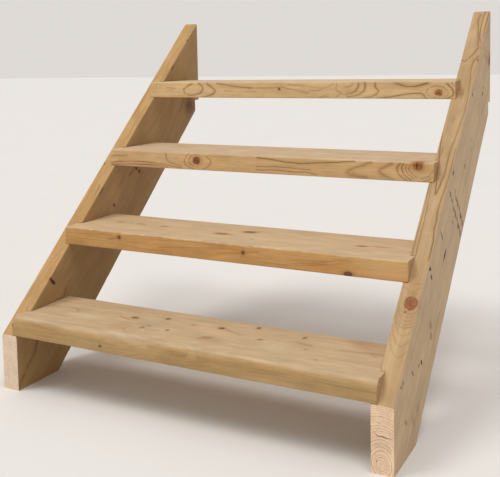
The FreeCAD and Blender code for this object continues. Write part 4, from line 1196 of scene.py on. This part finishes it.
sideLooks = {
    "left": {
        "own": {
            "early": (0.56, 0.35, 0.145), "early2": (0.50, 0.265, 0.085), "late": (0.33, 0.165, 0.05),
            "endEarly": (0.87, 0.69, 0.52), "endLate": (0.78, 0.58, 0.42),
            "pith": (24, -150), "wobble": 4.0, "lineStrength": 0.55, "ringWidth": 3.6, "seed": 17.2,
            # painted shade: the inner face, shut in between the treads, is coloured darker brown than its
            # own wood
            "faces": (((1, 0, 0), (0.385, 0.24, 0.105), 0.9, 0.2),
                      ((-1, 0, 0), (0.55, 0.40, 0.245), 0.7, 0.6),
                      (uphill, None, 0, 0.5)),
            "lines": [
                {**leftFront, "wide": 2.1, "strength": 0.60, "paths": [
                    [(66, 14), (100, 20), (140, 21), (182, 17), (232, 9)],
                    [(88, 9), (130, 14), (164, 12), (200, 7)],
                    [(64, 30), (140, 35), (215, 27), (250, 15)],
                    [(370, 26), (420, 31), (480, 29), (530, 20)],
                    [(640, 12), (700, 18), (770, 14)], [(900, 16), (960, 22), (1010, 17)],
                    [(720, 34), (800, 38), (900, 36)]]},
                # a drying crack, also cut into the board; its near-black colour is painted shade inside the
                # crack
                {**leftInner, "wide": 4.6, "strength": 0.95, "colour": (0.07, 0.035, 0.015), "paths": [
                    [(-82, -91), (-40, -87), (6, -83)], [(8, -82), (30, -70)]]},
                {**leftInner, "wide": 4.6, "strength": 0.85, "colour": (0.16, 0.085, 0.035), "paths": [
                    [(135, -62), (150, -74), (165, -76), (178, -70)],
                    [(560, -70), (590, -74), (620, -68)],
                    [(872, -130), (900, -118), (925, -112), (950, -118)]]},
            ]},
        "knots": [
            spot((164, 0, -14), (5, 9, 14), lift=4, reach=2.5, colour=char, heart=(0.03, 0.015, 0.008),
                 rim=0.2),
            spot((596, 0, -81), (5, 20, 7), lift=4, reach=3.5, colour=(0.14, 0.07, 0.03), heart=char),
            spot((600, 0, -98), (6, 20, 6), lift=3, reach=3.5, colour=(0.14, 0.07, 0.03), heart=char),
            spot((456, 0, -75), (5, 20, 6), lift=4, reach=3.5, colour=(0.16, 0.08, 0.03), heart=char),
            spot((926, 0, -155), (24, 30, 24), lift=14, reach=2.4, halo=0.6, strength=0.75, soft=0.5,
                 colour=(0.20, 0.085, 0.03), heart=(0.07, 0.028, 0.012), haloColour=(0.24, 0.13, 0.05)),
        ],
        "marks": [
            spot((1061, 1, 0), (8, 5, 5), strength=0.8),
            spot((446, 11, 0), (28, 2.4, 4), strength=0.6, colour=(0.26, 0.11, 0.035)),
            spot((540, 38, 0), (7, 4, 4), strength=0.7, colour=char),
            spot((735, 26, 0), (26, 9, 4), strength=0.28, colour=rust, soft=0.95),
            spot((1115, 28, 0), (26, 12, 4), strength=0.4, colour=(0.52, 0.24, 0.08), soft=0.95),
            spot((448, 0, -5), (22, 4, 5), strength=0.6, colour=char),
            spot((936, 0, -4), (18, 4, 5), strength=0.6, colour=char),
            spot((180, 0, -80), (60, 8, 18), strength=0.25, colour=(0.20, 0.11, 0.045), soft=0.95),
            spot((700, 0, -100), (90, 8, 30), strength=0.22, colour=(0.22, 0.12, 0.05), soft=0.95),
            spot((1010, 0, -40), (70, 8, 26), strength=0.25, colour=(0.44, 0.26, 0.11), soft=0.95),
        ],
    },
    "right": {
        "own": {
            "early": (0.555, 0.385, 0.212), "early2": (0.47, 0.30, 0.14), "late": (0.26, 0.125, 0.036),
            "endEarly": (0.97, 0.72, 0.50), "endLate": (0.36, 0.17, 0.07),
            "pith": (-20, -84), "pithTurn": (0.25, 0.4), "wobble": 3.0, "lineStrength": 0.8,
            "ringWidth": 3.5,
            "seed": 23.9, "faces": (((1, 0, 0), (0.59, 0.42, 0.252), 0.94, 0.10), (uphill, None, 0, 0.12)),
            "lines": [
                {**rightFront, "wide": 2.8, "strength": 1.00, "paths": [
                    [(503, 22), (530, 27), (560, 31), (600, 30.5), (640, 31), (680, 35), (715, 38),
                     (760, 41.5), (800, 41),
                     (840, 39), (880, 35), (905, 32.5), (928, 32), (946, 35), (957, 40), (963, 46)],
                    [(503, 22), (520, 19), (545, 16), (570, 13.5), (595, 11), (620, 8), (650, 5), (692, 1)],
                    [(946, 1), (941, 11), (955, 21), (975, 31), (990, 37), (1003, 34), (1020, 32),
                     (1045, 27),
                     (1070, 24.5), (1092, 19.5), (1106, 18.5), (1124, 22)],
                    [(1003, 46), (1015, 38), (1031, 33), (1055, 30.5), (1085, 30), (1115, 31), (1140, 33)],
                    [(1020, 46), (1040, 42), (1070, 41), (1100, 42), (1140, 43)],
                    [(330, 43), (380, 42), (410, 38), (432, 38.5), (455, 35.5), (480, 36.5), (520, 39.5),
                     (560, 42),
                     (640, 43.5)]]},
                {**rightFront, "wide": 2.1, "strength": 0.84, "paths": [
                    [(335, 13), (380, 12), (430, 12), (460, 11.5), (500, 9), (535, 7)],
                    [(338, 5), (400, 5), (470, 6), (510, 4), (540, 1)], [(880, 44), (905, 41.5), (930, 44)],
                    [(1032, 46), (1060, 44), (1100, 45.5)], [(600, 8), (625, 12), (645, 12)],
                    [(985, 45), (992, 41), (1003, 44)]]},
                {**rightFront, "wide": 2.6, "strength": 0.5, "shade": 0.4, "paths": [
                    [(v + 26, 1), (v + 14, 6), (v + 4, 15), (v, 27), (v + 3, 37),
                     (v + 9, 45)] for v in (165, 172.5, 180, 188, 196)
                ] + [[(206, 18), (200, 21), (203, 27)]]},
                {**rightFront, "wide": 2.1, "strength": 0.38, "shade": 0.25, "paths": [
                    [(v + 52, 1), (v + 28, 7), (v + 8, 17), (v, 28), (v + 8, 38),
                     (v + 22, 46)] for v in (100, 124, 146)
                ] + [[(258, 6), (252, 18), (254, 32), (262, 44)], [(272, 16), (266, 26), (270, 40)]]},
                {**rightOuter, "wide": 2.8, "strength": 0.42, "halo": 4, "paths": [
                    [(996, -26), (1012, -48), (1030, -74), (1052, -98), (1066, -108)],
                    [(1010, -14), (1034, -52), (1058, -84)],
                    [(318, -92), (345, -90), (380, -92), (420, -94)],
                    [(610, -120), (720, -128), (860, -124), (980, -140)],
                    [(60, -150), (150, -158), (300, -152)], [(120, -30), (190, -38), (260, -34)]]},
            ]},
        "knots": [
            spot((222.5, -28, 0), (16.5, 13.5, 30), lift=20, reach=3.0, halo=0.3, rim=0.35,
                 colour=(0.36, 0.125, 0.045), heart=(0.22, 0.065, 0.022), haloOut=1.9),
            spot((1047, -45, -92), (17, 12, 12), lift=8, reach=2.6, halo=0.5, rim=0.2,
                 colour=(0.26, 0.10, 0.035), haloColour=(0.40, 0.20, 0.09)),
        ],
        "marks": [
            spot((217, -30, 0), (1.8, 11, 6), strength=0.75, colour=(0.15, 0.04, 0.015), ragged=0.9),
            spot((228, -28, 0), (1.4, 9, 6), strength=0.5, colour=(0.17, 0.05, 0.02), ragged=0.9),
            spot((201, -21, 0), (4, 4, 6), strength=0.7, colour=(0.20, 0.08, 0.03)),
            spot((246, -27, 0), (8, 17, 6), strength=0.45, colour=(0.34, 0.16, 0.06)),
            spot((270, -26, 0), (34, 18, 6), strength=0.3, colour=(0.50, 0.25, 0.10), soft=0.95),
            spot((824, -25, 0), (30, 5.5, 6), strength=0.5, colour=(0.38, 0.17, 0.07)),
            spot((838, -16.5, 0), (24, 4.5, 6), strength=0.45, colour=(0.40, 0.18, 0.07)),
            spot((735, -19.5, 0), (18, 5, 5), strength=0.5, colour=(0.40, 0.19, 0.07), ragged=1.2),
            spot((1120, -18, 0), (18, 6, 5), strength=0.5, colour=(0.48, 0.22, 0.09), soft=0.9),
            spot((945, -44, 0), (8, 4, 4), strength=0.7, colour=char),
            spot((560, -15, 0), (40, 6, 5), strength=0.3, colour=(0.42, 0.24, 0.10), soft=0.9),
            fleck(60, 18, 4, 8, brown, 0.75),
            fleck(104, 62, 3.5, 11, brown, 0.81),
            fleck(151, 103, 5, 9, char, 1.0),
            fleck(312, 37, 4, 11, char, 1.0),
            fleck(318, 15, 5, 8, char, 1.0),
            fleck(422, 40, 4, 20, brown, 0.94),
            fleck(410, 94, 20, 6, (0.14, 0.07, 0.035), 0.88),
            fleck(580, 15, 6, 7, char, 1.0),
            fleck(838, 17, 6, 8, brown, 1.0),
            fleck(925, 100, 7, 9, brown, 0.94),
            fleck(665, 91, 7, 8, brown, 0.69),
            fleck(738, 110, 14, 8, brown, 0.5, soft=0.9),
            fleck(755, 93, 6, 6, brown, 0.5),
            fleck(503, 96, 5, 7, brown, 0.56),
            fleck(16, 92, 5, 10, brown, 0.62),
            fleck(240, 108, 9, 14, (0.34, 0.17, 0.08), 0.69),
            fleck(226, 128, 9, 14, (0.34, 0.17, 0.08), 0.62),
            fleck(42, 140, 12, 34, (0.32, 0.17, 0.08), 0.38, soft=0.9),
            fleck(75, 150, 16, 26, (0.32, 0.17, 0.08), 0.31, soft=0.9),
            fleck(1020, 62, 12, 30, (0.42, 0.20, 0.09), 0.56, soft=0.9),
            fleck(1085, 14, 34, 12, (0.44, 0.26, 0.12), 0.44, soft=0.95),
        ] + [
            # two rows of old plain scuffs across the board
            spot((528 + row * 30 + (i * 5) % 7, -45, -18 - i * 9.2 - (i * 3) % 5),
                 (2.6 + (i * 3) % 4 + i * 0.16, 3, 3.4 + (i * 7) % 5 + i * 0.12),
                 strength=0.6 + 0.08 * ((i * 5) % 6), ragged=2.2, soft=0.45,
                 colour=(0.075, 0.06, 0.042))
            for row in (0, 1) for i in range(4 * row, 18)
        ],
        "bulges": [spot((960, -16, 0), (50, 16, 30), lift=8, reach=1.2),
                   spot((640, -22, 0), (130, 13, 30), lift=7, reach=1.0)],
    },
}

for side, word in ((-1, "left"), (1, "right")):
    low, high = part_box(f"stringer_{word}")
    board = makeStringer(side)
    said = sideLooks[word]
    inner = high.x if side < 0 else low.x
    cos, sin = math.cos(slope), math.sin(slope)
    # grain: x up the slope, y = inner face minus x, z across from the sloping front
    origin = (-(side0.y * cos + side0.z * sin), inner, side0.y * sin - side0.z * cos)
    timber = makeTimber(f"sidePine_{word}", said["own"], said["knots"], said["marks"],
                        said.get("bulges", ()),
                        lay=(-slope, 0, -math.pi / 2), origin=origin)
    dress(board, timber)
    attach(board, "root")
    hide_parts(f"stringer_{word}")
bpy.data.objects.remove(masterHole)
print("side boards stood up")


# floor, light and camera

studio = {
    "floor": (0.79, 0.785, 0.785),
    "backdrop": (0.735, 0.70, 0.67),     # what the camera sees past the floor
    "sky": (1.0, 0.965, 0.92),           # soft light from all round
    "skyStrength": 0.50,
    "lens": 57.884,
    "cameraAt": (0.92088, -1.79954, 0.77501),
    "cameraTurn": (84.9494, 1.1008, 27.702),
    "shiftUp": -0.217,
    # where each lamp stands, how wide it looks in degrees, strength, colour
    "lamps": (((-0.75, -0.62, 1.6), 24, 1.04, (1.0, 0.955, 0.90)),
              ((0.45, -0.40, 1.9), 22, 0.75, (1.0, 0.955, 0.90)),
              ((0.10, 0.15, 1.5), 30, 0.25, (1.0, 0.97, 0.94))),
}

deselectAll()
bpy.ops.mesh.primitive_plane_add(size=60, location=(0, 0, 0))
floor = bpy.context.object
floor.name = "floor"
paint = bpy.data.materials.new("floorPaint")
paint.use_nodes = True
tree = paint.node_tree
coat = tree.nodes["Principled BSDF"]
coords = newNode(tree, "ShaderNodeTexCoord")
mottle = cloud(tree, coords.outputs["Object"], (2, 2, 2), detail=4)
shade = tint(tree, ease(tree, mottle.outputs[0], 0.3, 0.7), studio["floor"],
             [c * 0.985 for c in studio["floor"]])
feed(tree, coat.inputs["Base Color"], shade)
coat.inputs["Roughness"].default_value = 0.75
floor.data.materials.append(paint)

world = bpy.data.worlds.new("studio")
world.use_nodes = True
tree = world.node_tree
sky = tree.nodes["Background"]
sky.inputs[0].default_value = (*studio["sky"], 1)
sky.inputs[1].default_value = studio["skyStrength"]
seen = newNode(tree, "ShaderNodeBackground")
seen.inputs[0].default_value = (*studio["backdrop"], 1)
choice = newNode(tree, "ShaderNodeMixShader")
feed(tree, choice.inputs[0], newNode(tree, "ShaderNodeLightPath").outputs["Is Camera Ray"])
feed(tree, choice.inputs[1], sky.outputs[0])
feed(tree, choice.inputs[2], seen.outputs[0])
feed(tree, tree.nodes["World Output"].inputs["Surface"], choice.outputs[0])
bpy.context.scene.world = world
bpy.context.scene.view_settings.view_transform = "Standard"

for index, (place, spread, power, colour) in enumerate(studio["lamps"]):
    bpy.ops.object.light_add(type="SUN", location=place)
    lamp = bpy.context.object
    lamp.name = f"lamp_{index + 1}"
    lamp.data.angle = math.radians(spread)
    lamp.data.energy = power
    lamp.data.color = colour
    lamp.rotation_euler = (-Vector(place)).to_track_quat("-Z", "Y").to_euler()

bpy.ops.object.camera_add(location=studio["cameraAt"],
                          rotation=[math.radians(value) for value in studio["cameraTurn"]])
camera = bpy.context.object
camera.data.lens = studio["lens"]
camera.data.sensor_fit = "HORIZONTAL"
camera.data.sensor_width = 36
camera.data.shift_y = studio["shiftUp"]
camera.data.dof.use_dof = False
bpy.context.scene.camera = camera
print("studio ready")

bpy.context.view_layer.update()
